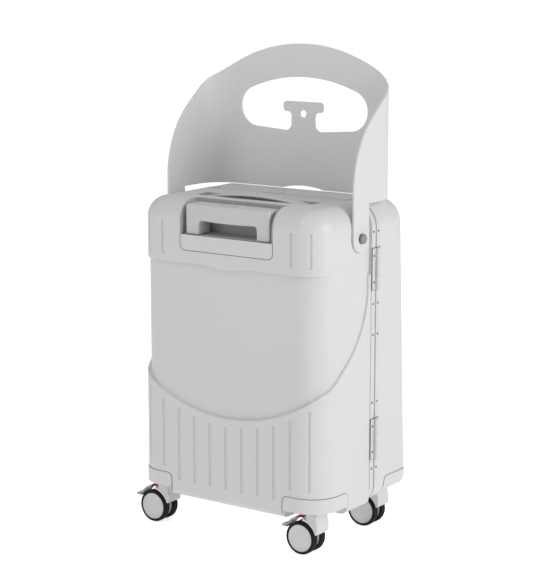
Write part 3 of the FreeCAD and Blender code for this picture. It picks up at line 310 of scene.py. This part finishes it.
def settle(name, mesh, body, slot, nodes=(), look=None):
    """Puts a finished mesh in the scene on its body, in place of the nodes it stands for."""
    piece = bpy.data.objects.new(name, mesh)
    bpy.context.scene.collection.objects.link(piece)
    mesh.materials.clear()
    mesh.materials.append(paint()[look or slot])
    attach(piece, body)
    if nodes:
        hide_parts(*nodes)
    return piece


def skin(name, grids):
    """One mesh from several closed or open grids of points, each given as (points, wrap_u,
    wrap_v): neighbouring points make a four-sided face, and a wrapped way joins up."""
    places = []
    faces = []
    start = 0
    for points, wrap_u, wrap_v in grids:
        rows, columns = points.shape[:2]
        index = np.arange(rows * columns).reshape(rows, columns) + start
        below = np.roll(index, -1, 0) if wrap_u else index[1:]
        here = index if wrap_u else index[:-1]
        right = (lambda a: np.roll(a, -1, 1)) if wrap_v else (lambda a: a[:, 1:])
        left = (lambda a: a) if wrap_v else (lambda a: a[:, :-1])
        faces.append(np.stack([left(here), right(here), right(below), left(below)],
                              -1).reshape(-1, 4))
        places.append(points.reshape(-1, 3))
        start += rows * columns
    mesh = bpy.data.meshes.new(name)
    mesh.from_pydata(np.concatenate(places).tolist(), [], np.concatenate(faces).tolist())
    work = bmesh.new()
    work.from_mesh(mesh)
    bmesh.ops.remove_doubles(work, verts=work.verts, dist=1e-6)
    bmesh.ops.holes_fill(work, edges=work.edges, sides=0)
    bmesh.ops.recalc_face_normals(work, faces=work.faces)
    work.to_mesh(mesh)
    work.free()
    mesh.shade_smooth()
    return mesh


def turned(profile, centre, axis, steps=64, teeth=0, depth=0.0, closed=False):
    """A surface of revolution: each profile point (radius, height) goes round the axis, and a
    toothed rim adds depth * cos(teeth * angle) to the radii of the rim."""
    profile = np.asarray(profile, float)
    angle = np.linspace(0, 2 * math.pi, steps, endpoint=False)[:, None]
    rim = profile[None, :, 0] > 0.93 * profile[:, 0].max()
    swell = profile[None, :, 0] + depth * np.cos(teeth * angle) * rim
    high = np.broadcast_to(profile[None, :, 1], swell.shape)
    round_a = swell * np.cos(angle)
    round_b = swell * np.sin(angle)
    stack = {"x": (high, round_a, round_b), "y": (round_b, high, round_a),
             "z": (round_a, round_b, high)}[axis]
    return np.stack(stack, -1) + np.asarray(centre, float), True, closed


def rounded(corners, radii, steps=5):
    """An outline whose corners are arcs: each corner is met by a quadratic curve that starts
    and ends one radius away from it along the two edges."""
    corners = np.asarray(corners, float)
    before = np.roll(corners, 1, 0) - corners
    after = np.roll(corners, -1, 0) - corners
    reach = np.asarray(radii, float)[:, None]
    one = corners + before / np.linalg.norm(before, axis=1)[:, None] * reach
    two = corners + after / np.linalg.norm(after, axis=1)[:, None] * reach
    t = np.linspace(0, 1, steps)[None, :, None]
    curve = (1 - t) ** 2 * one[:, None] + 2 * t * (1 - t) * corners[:, None] + t * t * two[:, None]
    return curve.reshape(-1, 2)


def block(centre, halves, power=0.3):
    """A soft-edged block, the super-ellipsoid x = a C(v) C(u), y = b C(v) S(u), z = c S(v)
    with C and S the signed powers of cosine and sine."""
    across = np.linspace(-math.pi, math.pi, 48, endpoint=False)[:, None]
    up = np.linspace(-math.pi / 2, math.pi / 2, 25)[None, :]

    def bend(wave):
        return np.sign(wave) * np.abs(wave) ** power

    points = np.stack(np.broadcast_arrays(bend(np.cos(up)) * bend(np.cos(across)),
                                          bend(np.cos(up)) * bend(np.sin(across)),
                                          bend(np.sin(up))), -1)
    return points * np.asarray(halves) + np.asarray(centre), True, False


def ring(low, high, radii, steps=13):
    """A rectangle with an arc at each corner, from the upper right corner on against the clock:
    centre + radius * (cos, sin) over a quarter turn each."""
    sign = np.array([(1, 1), (-1, 1), (-1, -1), (1, -1)])
    radius = np.array(radii)[:, None]
    centre = np.where(sign > 0, high, low) - sign * radius
    angle = np.radians(np.array([[0], [90], [180], [270]]) + np.linspace(0, 90, steps))
    return np.stack([centre[:, :1] + radius * np.cos(angle),
                     centre[:, 1:] + radius * np.sin(angle)], -1).reshape(-1, 2)


def carried(path, level, way, across, rise):
    """A closed strip as a grid: a cross-section, whose points lie across from a flat outline
    and rise over its level on one axis, is carried round the outline."""
    along = np.roll(path, -1, 0) - np.roll(path, 1, 0)
    along /= np.linalg.norm(along, axis=1)[:, None]
    flat = [path[:, :1] + along[:, 1:] * across, path[:, 1:] - along[:, :1] * across]
    flat.insert(way, level + rise + 0 * path[:, :1])
    return np.stack(flat, -1), True, True


# Painted shade: the dark beads round the bezel and the hinge leaves are made here.
def shade_bead(path, level, way, radius):
    """A round bead carried round a flat outline: radius * (cos, sin) of the turn."""
    turn = np.linspace(0, 2 * math.pi, 8, endpoint=False)[None, :]
    return carried(path, level, way, radius * np.cos(turn), radius * np.sin(turn))


def merged(node):
    """A copy of a node's loose triangles, joined at their common points."""
    work = bmesh.new()
    work.from_mesh(frame["nodes"][node].data)
    bmesh.ops.remove_doubles(work, verts=work.verts, dist=MERGE)
    return work


def islands(node):
    """The low and high corner of every separate solid of a node."""
    work = merged(node)
    left = dict.fromkeys(work.verts)
    found = []
    while left:
        stack = [left.popitem()[0]]
        places = []
        while stack:
            vert = stack.pop()
            places.append(vert.co[:])
            for edge in vert.link_edges:
                other = edge.other_vert(vert)
                if other in left:
                    del left[other]
                    stack.append(other)
        places = np.array(places)
        found.append((places.min(0), places.max(0)))
    work.free()
    return found


def joint_lines(node):
    """The lines on the outside of a node's solids where they meet the shell: ordered chains of
    convex edges between one face that looks outward and one that looks neither out nor down."""
    work = merged(node)
    steep, outside, under = 0.35, 0.2, -0.5

    def outward(face):
        level = face.calc_center_median().to_2d()
        return (abs(face.normal.z) < steep
                and face.normal.to_2d().dot(level) > outside * level.length)

    left = {}
    for edge in work.edges:
        if edge.calc_face_angle(0.0) > math.radians(SHARP) and edge.is_convex:
            outer = [outward(face) for face in edge.link_faces]
            other = edge.link_faces[outer.index(False)] if False in outer else None
            if other and any(outer) and other.normal.z > under:
                left[edge] = True
    lines = []
    while left:
        line = list(left.popitem()[0].verts)
        for _ in range(2):
            more = [edge for edge in line[-1].link_edges if edge in left]
            while more:
                del left[more[0]]
                line.append(more[0].other_vert(line[-1]))
                more = [edge for edge in line[-1].link_edges if edge in left]
            line.reverse()
        lines.append(np.array([vert.co[:] for vert in line]))
    work.free()
    return lines


def shade_thread(line, radius, sunk):
    """A thin round thread of painted shade sunk under a line on the outside of the case: a circle
    square to the line, line - sunk * out + radius * (cos * out + sin * side)."""
    along = np.gradient(line, axis=0)
    along /= np.linalg.norm(along, axis=1)[:, None]
    out = line * (1, 1, 0)
    out = out - (out * along).sum(1)[:, None] * along
    out /= np.linalg.norm(out, axis=1)[:, None]
    side = np.cross(along, out)
    turn = np.linspace(0, 2 * math.pi, 8, endpoint=False)[None, :, None]
    circle = np.cos(turn) * out[:, None] + np.sin(turn) * side[:, None]
    return (line - sunk * out)[:, None] + radius * circle, False, True


def on_rim(edge):
    """True for a convex edge between an upright wall and a ledge that faces up, between the
    lowest reach of the guard and the band."""
    level = (edge.verts[0].co.z + edge.verts[1].co.z) / 2
    if not sizes().rim_low < level < sizes().rim_high or not edge.is_convex:
        return False
    upright, ledge = 0.1, 0.25
    rise = sorted(face.normal.z for face in edge.link_faces)
    return abs(rise[0]) < upright and rise[1] > ledge


def runs(sharp):
    """Groups sharp edges into runs that pass through the points where just two of them meet."""
    left = set(sharp)
    while left:
        run = [left.pop()]
        for edge in run:
            for vert in edge.verts:
                ends = [other for other in vert.link_edges if other in sharp]
                fresh = [other for other in ends if other in left]
                if len(ends) == 2 and fresh:
                    left.difference_update(fresh)
                    run.extend(fresh)
        yield run


def gap_of(edge, sharp):
    """How far the nearest other sharp edge lies straight across one of an edge's faces."""
    middle = (edge.verts[0].co + edge.verts[1].co) / 2
    straight = 0.6
    gaps = [1.0]
    for loop in edge.link_loops:
        inward = loop.face.normal.cross(loop.link_loop_next.vert.co - loop.vert.co).normalized()
        for other in loop.face.edges:
            if other in sharp and other is not edge:
                first, last = (vert.co for vert in other.verts)
                along = geometry.intersect_point_line(middle, first, last)[1]
                across = first.lerp(last, min(max(along, 0.0), 1.0)) - middle
                if across.dot(inward) > straight * across.length:
                    gaps.append(across.length)
    return min(gaps)


def weigh_edges(work, width, rim):
    """Weights each run of sharp edges by the width its rounding may have: the full width, less
    where a short edge runs into it or the wall is thin, none where there is no room or a step
    dies out. Gives back the greatest width."""
    most = max(width, rim)
    weight = work.edges.layers.float.new("bevel_weight_edge")
    sharp = {edge for edge in work.edges
             if len(edge.link_faces) == 2 and edge.calc_face_angle() > math.radians(SHARP)}
    for run in runs(sharp):
        room = min((other.calc_length() for edge in run for vert in edge.verts
                    for other in vert.link_edges if other not in sharp), default=1.0)
        gaps = [gap_of(edge, sharp) for edge in run]
        raised = rim and sum(on_rim(edge) for edge in run) > RIM_RUN * len(run)
        most_here = min(width, ROOM_SHARE * room, ROOM_SHARE * sorted(gaps)[len(gaps) // 2])
        if raised:
            most_here = min(rim, RIM_SHARE * room)
        for edge, gap in zip(run, gaps):
            crisp = most_here < LEAST_SHARE * width or (gap < CLEAR * most_here and not raised)
            edge[weight] = 0.0 if crisp else most_here / most
            edge.smooth = not crisp
    return most


def crossings(outline):
    """Where the sides of a flat closed outline cut one another. Every pair of sides is solved at
    once for the shares of the two at their common point; gives each cut side and its share."""
    run = np.roll(outline, -1, 0) - outline
    gap = outline[None] - outline[:, None]
    with np.errstate(divide="ignore", invalid="ignore"):
        cross = run[:, None, 0] * run[None, :, 1] - run[:, None, 1] * run[None, :, 0]
        one = (gap[..., 0] * run[None, :, 1] - gap[..., 1] * run[None, :, 0]) / cross
        two = (gap[..., 0] * run[:, None, 1] - gap[..., 1] * run[:, None, 0]) / cross
        inside = 0.499999
        hit = (np.abs(one - 0.5) < inside) & (np.abs(two - 0.5) < inside)
    side, other = np.nonzero(hit)
    return side, one[side, other]


def folds(piece):
    """The places where faces of a rounded piece fold over themselves: where a folded face's
    sides cross, or else the corners of its triangles that lie upside down."""
    made = piece.evaluated_get(bpy.context.evaluated_depsgraph_get())
    mesh = made.to_mesh()
    mesh.calc_loop_triangles()
    places = np.empty((len(mesh.vertices), 3))
    mesh.vertices.foreach_get("co", places.ravel())
    corners = np.empty((len(mesh.loop_triangles), 3), int)
    mesh.loop_triangles.foreach_get("vertices", corners.ravel())
    owner = np.empty(len(mesh.loop_triangles), int)
    mesh.loop_triangles.foreach_get("polygon_index", owner)
    normal = np.empty((len(mesh.polygons), 3))
    mesh.polygons.foreach_get("normal", normal.ravel())
    one, two, three = (places[corners[:, corner]] for corner in range(3))
    over = (np.cross(two - one, three - one) * normal[owner]).sum(1) < -FOLDED
    spots = [np.empty((0, 3))]
    for face in np.unique(owner[over]):
        outline = places[list(mesh.polygons[face].vertices)]
        side, share = crossings(np.delete(outline, np.abs(normal[face]).argmax(), 1))
        along = np.roll(outline, -1, 0) - outline
        cuts = outline[side] + along[side] * share[:, None]
        spots.append(cuts if len(cuts) else places[np.unique(corners[over & (owner == face)])])
    made.to_mesh_clear()
    return np.concatenate(spots)


def ease(piece, width):
    """Takes the rounding off the edges beside a fold, short edges first, until none folds."""
    mesh = piece.data
    places = np.empty((len(mesh.vertices), 3))
    mesh.vertices.foreach_get("co", places.ravel())
    ends = np.empty((len(mesh.edges), 2), int)
    mesh.edges.foreach_get("vertices", ends.ravel())
    start = places[ends[:, 0]]
    along = places[ends[:, 1]] - start
    length = np.linalg.norm(along, axis=1)
    weight = np.empty(len(mesh.edges), np.float32)
    mesh.attributes["bevel_weight_edge"].data.foreach_get("value", weight)
    crisp = np.zeros(len(mesh.edges), bool)
    if "sharp_edge" not in mesh.attributes:
        mesh.attributes.new("sharp_edge", "BOOLEAN", "EDGE")
    mesh.attributes["sharp_edge"].data.foreach_get("value", crisp)
    for longest in EASED:
        spots = folds(piece)
        if not len(spots):
            break
        near = np.nonzero((weight > 0) & (length < longest))[0]
        gap = spots[None] - start[near, None]
        share = (gap * along[near, None]).sum(-1) / length[near, None] ** 2
        gap -= np.clip(share, 0, 1)[..., None] * along[near, None]
        near = near[np.linalg.norm(gap, axis=-1).min(1) < 2 * width]
        weight[near] = 0
        crisp[near] = True
        mesh.attributes["bevel_weight_edge"].data.foreach_set("value", weight)
        mesh.attributes["sharp_edge"].data.foreach_set("value", crisp)
        mesh.update()


def rounded_copy(node, width, segments=3, rim=0.0, look=None):
    """A merged copy of a solid part with its sharp edges rounded, and its rim rounded more where
    it has one."""
    work = merged(node)
    bmesh.ops.dissolve_limit(work, angle_limit=math.radians(FLAT), verts=work.verts,
                             edges=work.edges)
    for face in work.faces:
        face.smooth = True
    most = weigh_edges(work, width, rim)
    mesh = bpy.data.meshes.new(node + "_skin")
    work.to_mesh(mesh)
    work.free()
    piece = settle(node + "_skin", mesh, body_of(node), slot_of(node), (node,), look)
    bevel = piece.modifiers.new("edge", "BEVEL")
    bevel.limit_method = "WEIGHT"
    bevel.width = most
    bevel.segments = segments
    bevel.use_clamp_overlap = False
    ease(piece, most)
    level = piece.modifiers.new("shade", "WEIGHTED_NORMAL")
    level.keep_sharp = True
    return piece


class SUITCASE_OT_shells(bpy.types.Operator):
    """Rounds both shells, the seam frames, the pads and the guard, and lays the seal and dark
    lines of painted shade round the pads and the bezel
    """
    bl_idname = "suitcase.shells"
    bl_label = "Shells and guard"

    def execute(self, context):
        rounded_copy("rear_shell", sizes().edge, 4, rim=sizes().skirt_rim)
        rounded_copy("front_shell", sizes().edge)
        self.seal()
        self.bezel_shade()
        self.pad_shade_lines()
        rounded_copy("seat_guard", sizes().guard_edge)
        for node in ("rear_frame", "front_frame"):
            rounded_copy(node, sizes().edge * 0.4, 2, look="frame_seam_shade")
        for node in ("rear_pads", "front_pads", "handle_bezel"):
            rounded_copy(node, sizes().edge)
        for node in ("handle_cup", "carry_tray", "lining_rear", "lining_front"):
            rounded_copy(node, sizes().edge * 0.4, 2)
        return {"FINISHED"}

    def seal(self):
        """The rubber seal: a super-ellipse, depth and thickness by signed powers of cosine and
        sine, carried along the seam's outline just inside the outside of the frame."""
        low, high = islands("rear_frame")[0]
        wide = sizes().seal_wide
        inset, half_thick, power = 0.0007, 0.00033, 0.4
        turn = np.linspace(0, 2 * math.pi, 24, endpoint=False)[None, :]
        depth = inset + wide / 2 * (1 + np.sign(np.cos(turn)) * np.abs(np.cos(turn)) ** power)
        thick = half_thick * np.sign(np.sin(turn)) * np.abs(np.sin(turn)) ** power
        path = ring(low[[0, 2]], high[[0, 2]],
                    [sizes().seam_top] * 2 + [sizes().seam_foot] * 2)
        settle("seam_seal", skin("seam_seal", [carried(path, seam_y(), 1, -depth, thick)]),
               body_of("rear_frame"), "black_plastic")

    def pad_shade_lines(self):
        """Painted shade: dark threads sunk along the joints between the corner pads and the
        shells, where the shade of the joints falls.
        """
        # Painted shade: a black thread under each joint line of the pads.
        for pads in ("rear_pads", "front_pads"):
            lines = [shade_thread(line, sizes().shade_bead * 0.8, sizes().edge * 0.9)
                     for line in joint_lines(pads)
                     if np.linalg.norm(np.diff(line, axis=0), axis=1).sum() > JOINT_LEAST]
            settle(pads + "_shade_line", skin(pads + "_shade_line", lines), body_of(pads), "black_plastic")

    def bezel_shade(self):
        """Painted shade: a dark bead in the groove round the bezel under the grip, level with the
        band, where the shade of its outline falls.
        """
        low, high = islands("handle_bezel")[0]
        out = sizes().shade_bead * 0.3
        path = ring(low[[0, 2]] - out, high[[0, 2]] + out,
                    [sizes().shade_bead] * 2 + [sizes().bezel_corner + out] * 2)
        # Painted shade: the dark bead stands where the bezel's outline is shaded.
        strip = shade_bead(path, low[1] + sizes().shade_bead * 0.8, 1, sizes().shade_bead * 0.8)
        settle("bezel_shade_line", skin("bezel_shade_line", [strip]), body_of("handle_bezel"),
               "black_plastic")


class SUITCASE_OT_handles(bpy.types.Operator):
    """Rounds the trolley handle, its tubes and the carry handle"""
    bl_idname = "suitcase.handles"
    bl_label = "Handles"

    def execute(self, context):
        for node in ("grip", "release_button"):
            rounded_copy(node, sizes().edge * 0.6)
        self.strap()
        for node in ("mid_tubes", "inner_tubes", "tube_collars", "trolley_sleeves",
                     "trolley_foot", "release_rods"):
            rounded_copy(node, sizes().edge * 0.2, 2)
        return {"FINISHED"}

    def strap(self):
        """The carry handle: a super-ellipse |a|^4 + |b|^4 = 1 carried along a flat arc, with
        finger waves under its middle, on two soft-edged feet."""
        low, high = islands("carry_handle")[0]
        half, wide = (high - low)[:2] / 2
        middle = (low + high) / 2
        thick = sizes().strap_thick
        bow = sizes().strap_bow
        radius = (half * half + bow * bow) / (2 * bow)
        x = half * np.sin(np.linspace(-math.pi / 2, math.pi / 2, 81))[:, None]
        turn = np.linspace(0, 2 * math.pi, 40, endpoint=False)[None, :]
        tip = 0.006
        ends = np.clip((np.abs(x) - half + tip) / tip, 0, 1)
        shrink = np.sqrt(1 - ends ** 2)
        across = np.sign(np.cos(turn)) * np.sqrt(np.abs(np.cos(turn)))
        through = np.sign(np.sin(turn)) * np.sqrt(np.abs(np.sin(turn)))
        dent, pitch, reach = 0.0005, 300, 0.04
        wave = dent * np.cos(x * pitch) * np.exp(-(x / reach) ** 4) * (through < 0)
        arch = high[2] - thick / 2 - radius + np.sqrt(radius ** 2 - x ** 2)
        grid = np.stack(np.broadcast_arrays(
            middle[0] + x, middle[1] + wide * across * (0.9 + 0.1 * shrink) * shrink ** 0.5,
            arch + thick / 2 * through * shrink + wave * shrink), -1)
        top = high[2] - bow - thick / 2
        inset, foot = 0.007, (0.0068, 0.008, (top - low[2]) / 2)
        feet = [block((middle[0] + side * (half - inset), middle[1], (low[2] + top) / 2), foot)
                for side in (-1, 1)]
        settle("carry_handle_skin", skin("carry_handle", [(grid, False, True)] + feet), "carry",
               slot_of("carry_handle"), ("carry_handle",))


class SUITCASE_OT_metalwork(bpy.types.Operator):
    """Rounds the hinges and the latch, rings the leaves with painted shade and turns the rivets
    and knurled bolts
    """
    bl_idname = "suitcase.metalwork"
    bl_label = "Metalwork"

    def execute(self, context):
        for node in ("hinge_leaves_rear", "hinge_leaves_front", "hinge_pins", "latch_base",
                     "latch_keeper", "latch_lever", "pivot_plates", "guard_bushes"):
            rounded_copy(node, sizes().edge * 0.3, 2)
        for half in ("rear", "front"):
            leaves = "hinge_leaves_" + half
            # Painted shade: dark beads round each hinge leaf.
            leaf_shade_beads = [self.leaf_shade_bead(low, high, half == "front") for low, high in islands(leaves)]
            settle("hinge_shade_beads_" + half, skin("hinge_shade_beads_" + half, leaf_shade_beads), body_of(leaves),
                   "black_plastic")
        for node in ("rivets_rear", "rivets_front"):
            heads = [self.rivet(low, high) for low, high in islands(node)]
            settle(node + "_skin", skin(node, heads), body_of(node), slot_of(node), (node,))
        bolts = [self.bolt(low, high) for low, high in islands("pivot_bolts")]
        settle("pivot_bolts_skin", skin("pivot_bolts", bolts), body_of("pivot_bolts"),
               slot_of("pivot_bolts"), ("pivot_bolts",), "bolt_metal")
        return {"FINISHED"}

    def leaf_shade_bead(self, low, high, front):
        """A dark bead of painted shade round a hinge leaf, whose side by the pin runs under the
        leaf.
        """
        radius = sizes().shade_bead
        out = radius * 0.8
        corner = 0.001
        side = (high[1] - sizes().leaf + radius, high[1] + out) if front else (
            low[1] - out, low[1] + sizes().leaf - radius)
        path = ring((side[0], low[2] - out), (side[1], high[2] + out), [corner] * 4, 5)
        return shade_bead(path, low[0] + radius * 0.4, 0, radius)

    def rivet(self, low, high):
        """A shank with a domed head, turned round the rivet's own axis, head outward."""
        size = high - low
        centre = (low + high) / 2
        upward = abs(size[0] - size[1]) < 1e-4
        way = 2 if upward else 0
        radius = size[1] / 2
        sign = 1 if upward or centre[0] > 0 else -1
        half = size[way] / 2 * sign
        crown = 0.0006 * sign
        bend = np.linspace(0, math.pi / 2, 6)
        dome = np.stack([radius * np.cos(bend), half - crown * (1 - np.sin(bend))], 1)
        profile = np.concatenate([[(0, -half), (radius, -half)], dome])
        profile[-1, 0] = 0
        return turned(profile, centre, "z" if upward else "x", 20)

    def bolt(self, low, high):
        """A knurled cap on a shank: the rim's radius follows a cosine of its angle."""
        sign = 1 if low[0] + high[0] > 0 else -1
        cap = (high[2] - low[2]) / 2
        tip = max(abs(low[0]), abs(high[0])) * sign
        root = min(abs(low[0]), abs(high[0])) * sign
        thick = 0.006 * sign
        shank = 0.004
        deep = 0.00035
        chamfer = 0.001
        edge = cap - deep
        profile = np.array([(0, root), (shank, root), (shank, tip - thick),
                            (edge - chamfer, tip - thick), (edge, tip - thick * 0.86),
                            (edge, tip - thick * 0.24), (edge - chamfer * 0.9, tip - thick * 0.07),
                            (edge * 0.72, tip), (edge * 0.66, tip - thick * 0.05),
                            (edge * 0.6, tip - thick * 0.06), (0, tip - thick * 0.06)])
        centre = (low + high) / 2
        return turned(profile, (0, centre[1], centre[2]), "x", 180, sizes().knurls, deep)


class SUITCASE_OT_casters(bpy.types.Operator):
    """Turns the tyres and hubs and rounds the forks and brakes of the four casters"""
    bl_idname = "suitcase.casters"
    bl_label = "Casters"

    def execute(self, context):
        for word in CASTERS:
            for kind in ("fork", "stem", "axle"):
                rounded_copy("%s_%s" % (kind, word), sizes().edge, 3)
            hubs = islands("hubs_" + word)
            tyres = islands("tyres_" + word)
            middle = sum((low + high)[1] for low, high in hubs) / 4
            self.turn("tyres_" + word, [self.tyre(box, hubs[0]) for box in tyres])
            self.turn("hubs_" + word, [self.hub(box, middle) for box in hubs])
            if word.startswith("rear"):
                for kind in ("brake_lever", "brake_shoe"):
                    rounded_copy("%s_%s" % (kind, word), sizes().edge * 0.8, 3)
        return {"FINISHED"}

    def turn(self, node, grids):
        """Puts the turned pieces of a node in its place."""
        settle(node + "_skin", skin(node, grids), body_of(node), slot_of(node), (node,))

    def tyre(self, box, hub):
        """A ring with round shoulders and two fine grooves, where the tread's radius is the outer
        one less depth * exp(-((|y| - place) / depth)^2)."""
        low, high = box
        outer = (high[2] - low[2]) / 2
        inner = (hub[1][2] - hub[0][2]) / 2
        half = (high[1] - low[1]) / 2
        lip, round_off, margin, groove, steps = 0.0006, 0.0042, 0.0044, 0.0004, 9
        shoulder = rounded([(inner, -half), (outer, -half), (outer, half), (inner, half)],
                           (lip, round_off, round_off, lip), steps)
        line = np.linspace(-half + margin, half - margin, 25)
        dent = groove * np.exp(-((np.abs(line) - half * 0.2) / groove) ** 2)
        tread = np.stack([outer - dent, line], 1)
        profile = np.concatenate([shoulder[:2 * steps], tread, shoulder[2 * steps:]])
        return turned(profile, (low + high) / 2, "y", 96, closed=True)

    def hub(self, box, middle):
        """A disc with a raised rim and a faintly crowned face, its outside away from the fork."""
        low, high = box
        radius = (high[2] - low[2]) / 2
        centre = (low + high) / 2
        sign = 1 if centre[1] > middle else -1
        half = (high[1] - low[1]) / 2 * sign
        rim = 0.001
        step = rim * sign
        profile = [(0, -half), (radius - rim * 0.6, -half), (radius, -half + step * 0.6),
                   (radius, half - step * 0.8), (radius - rim * 0.8, half),
                   (radius - rim * 1.7, half), (radius - rim * 2.2, half - step * 0.6),
                   (radius * 0.5, half - step * 0.45), (radius * 0.2, half - step * 0.3),
                   (0, half - step * 0.28)]
        return turned(profile, centre, "y", 72)


class SUITCASE_OT_stage(bpy.types.Operator):
    """Sets the pale floor, the soft lights and the camera"""
    bl_idname = "suitcase.stage"
    bl_label = "Stage"

    def execute(self, context):
        context.scene.view_settings.view_transform = "Standard"
        self.sky(context.scene)
        self.floor(context.scene)
        for lamp in (("key", (2.9, -0.1, 1.4), (0, 0, 0.4), 1.5, 1.8, 42),
                     ("front", (-1.2, -3.0, 0.8), (0, 0, 0.3), 2.2, 1.4, 8),
                     ("top", (-0.4, -1.5, 2.5), (0, -0.05, 0.45), 1.6, 1.6, 14)):
            self.lamp(context.scene, *lamp)
        self.camera(context.scene, (1.687, -2.388, 0.94), (-0.005, 0.0, 0.392))
        return {"FINISHED"}

    def sky(self, scene):
        """A white world that is bright to look at and dim as a light, dimmest on one side."""
        side, dim, bright = (0.6, -0.78, 0.15), 0.16, 0.42
        scene.world = bpy.data.worlds.new("studio")
        scene.world.use_nodes = True
        tree = scene.world.node_tree
        sky = tree.nodes["Background"]
        sky.inputs["Color"].default_value = (1, 1, 1, 1)
        ray = tree.nodes.new("ShaderNodeLightPath")
        where = tree.nodes.new("ShaderNodeTexCoord")
        facing = tree.nodes.new("ShaderNodeVectorMath")
        facing.operation = "DOT_PRODUCT"
        facing.inputs[1].default_value = side
        level = tree.nodes.new("ShaderNodeMapRange")
        level.interpolation_type = "SMOOTHSTEP"
        level.inputs["From Min"].default_value = 0.2
        level.inputs["To Min"].default_value = bright
        level.inputs["To Max"].default_value = dim
        both = tree.nodes.new("ShaderNodeMix")
        both.inputs["B"].default_value = 1.0
        tree.links.new(where.outputs["Generated"], facing.inputs[0])
        tree.links.new(facing.outputs["Value"], level.inputs["Value"])
        tree.links.new(ray.outputs["Is Camera Ray"], both.inputs["Factor"])
        tree.links.new(level.outputs["Result"], both.inputs["A"])
        tree.links.new(both.outputs["Result"], sky.inputs["Strength"])

    def floor(self, scene):
        """A pale floor with a glow of its own, stronger to look at than as a light."""
        wide, glow, glow_seen = 12.0, 0.3, 0.75
        mesh = bpy.data.meshes.new("floor")
        mesh.from_pydata([(-wide, -wide, 0), (wide, -wide, 0), (wide, wide, 0), (-wide, wide, 0)],
                         [], [(0, 1, 2, 3)])
        floor = bpy.data.objects.new("floor", mesh)
        scene.collection.objects.link(floor)
        ground = finish("pale_floor", (0.9, 0.9, 0.9), 0.7, 300, 0.02, 0.01)
        tree = ground.node_tree
        shader = tree.nodes["Principled BSDF"]
        shader.inputs["Emission Color"].default_value = (1, 1, 1, 1)
        ray = tree.nodes.new("ShaderNodeLightPath")
        lift = tree.nodes.new("ShaderNodeMapRange")
        lift.inputs["To Min"].default_value = glow
        lift.inputs["To Max"].default_value = glow_seen
        tree.links.new(ray.outputs["Is Camera Ray"], lift.inputs["Value"])
        tree.links.new(lift.outputs["Result"], shader.inputs["Emission Strength"])
        mesh.materials.append(ground)

    def lamp(self, scene, name, place, aim, wide, tall, power):
        """A soft box of light."""
        data = bpy.data.lights.new(name, "AREA")
        data.shape = "RECTANGLE"
        data.size = wide
        data.size_y = tall
        data.energy = power
        self.point(scene, bpy.data.objects.new(name, data), place, aim)

    def camera(self, scene, place, aim):
        """The camera at the photograph's viewing angle."""
        data = bpy.data.cameras.new("camera")
        data.lens = sizes().lens
        data.sensor_width = 36.0
        data.clip_end = 50.0
        scene.camera = bpy.data.objects.new("camera", data)
        self.point(scene, scene.camera, place, aim)

    def point(self, scene, item, place, aim):
        """Puts a lamp or the camera in its place and turns it to what it looks at."""
        way = Vector(aim) - Vector(place)
        item.location = place
        item.rotation_euler = way.to_track_quat("-Z", "Y").to_euler()
        scene.collection.objects.link(item)


class SUITCASE_PT_panel(bpy.types.Panel):
    """Lists the sizes, the colours and the steps"""
    bl_idname = "SUITCASE_PT_panel"
    bl_label = "Ride-on suitcase"
    bl_space_type = "VIEW_3D"
    bl_region_type = "UI"
    bl_category = "Suitcase"

    def draw(self, context):
        for step in STEPS:
            self.layout.operator(step.bl_idname)
        for group in (context.scene.suitcase_sizes, context.scene.suitcase_colours):
            for key in group.__annotations__:
                self.layout.prop(group, key)


STEPS = (SUITCASE_OT_shells, SUITCASE_OT_handles, SUITCASE_OT_metalwork, SUITCASE_OT_casters,
         SUITCASE_OT_stage)
CLASSES = (SuitcaseSizes, SuitcaseColours) + STEPS + (SUITCASE_PT_panel,)


def register():
    """Adds the classes and the two groups of values to Blender."""
    for item in CLASSES:
        bpy.utils.register_class(item)
    bpy.types.Scene.suitcase_sizes = PointerProperty(type=SuitcaseSizes)
    bpy.types.Scene.suitcase_colours = PointerProperty(type=SuitcaseColours)


def unregister():
    """Takes them out again."""
    del bpy.types.Scene.suitcase_colours
    del bpy.types.Scene.suitcase_sizes
    for item in reversed(CLASSES):
        bpy.utils.unregister_class(item)


def main():
    """Runs every step in order."""
    register()
    for step in STEPS:
        group, name = step.bl_idname.split(".")
        getattr(getattr(bpy.ops, group), name)()


if __name__ == "__main__":
    main()
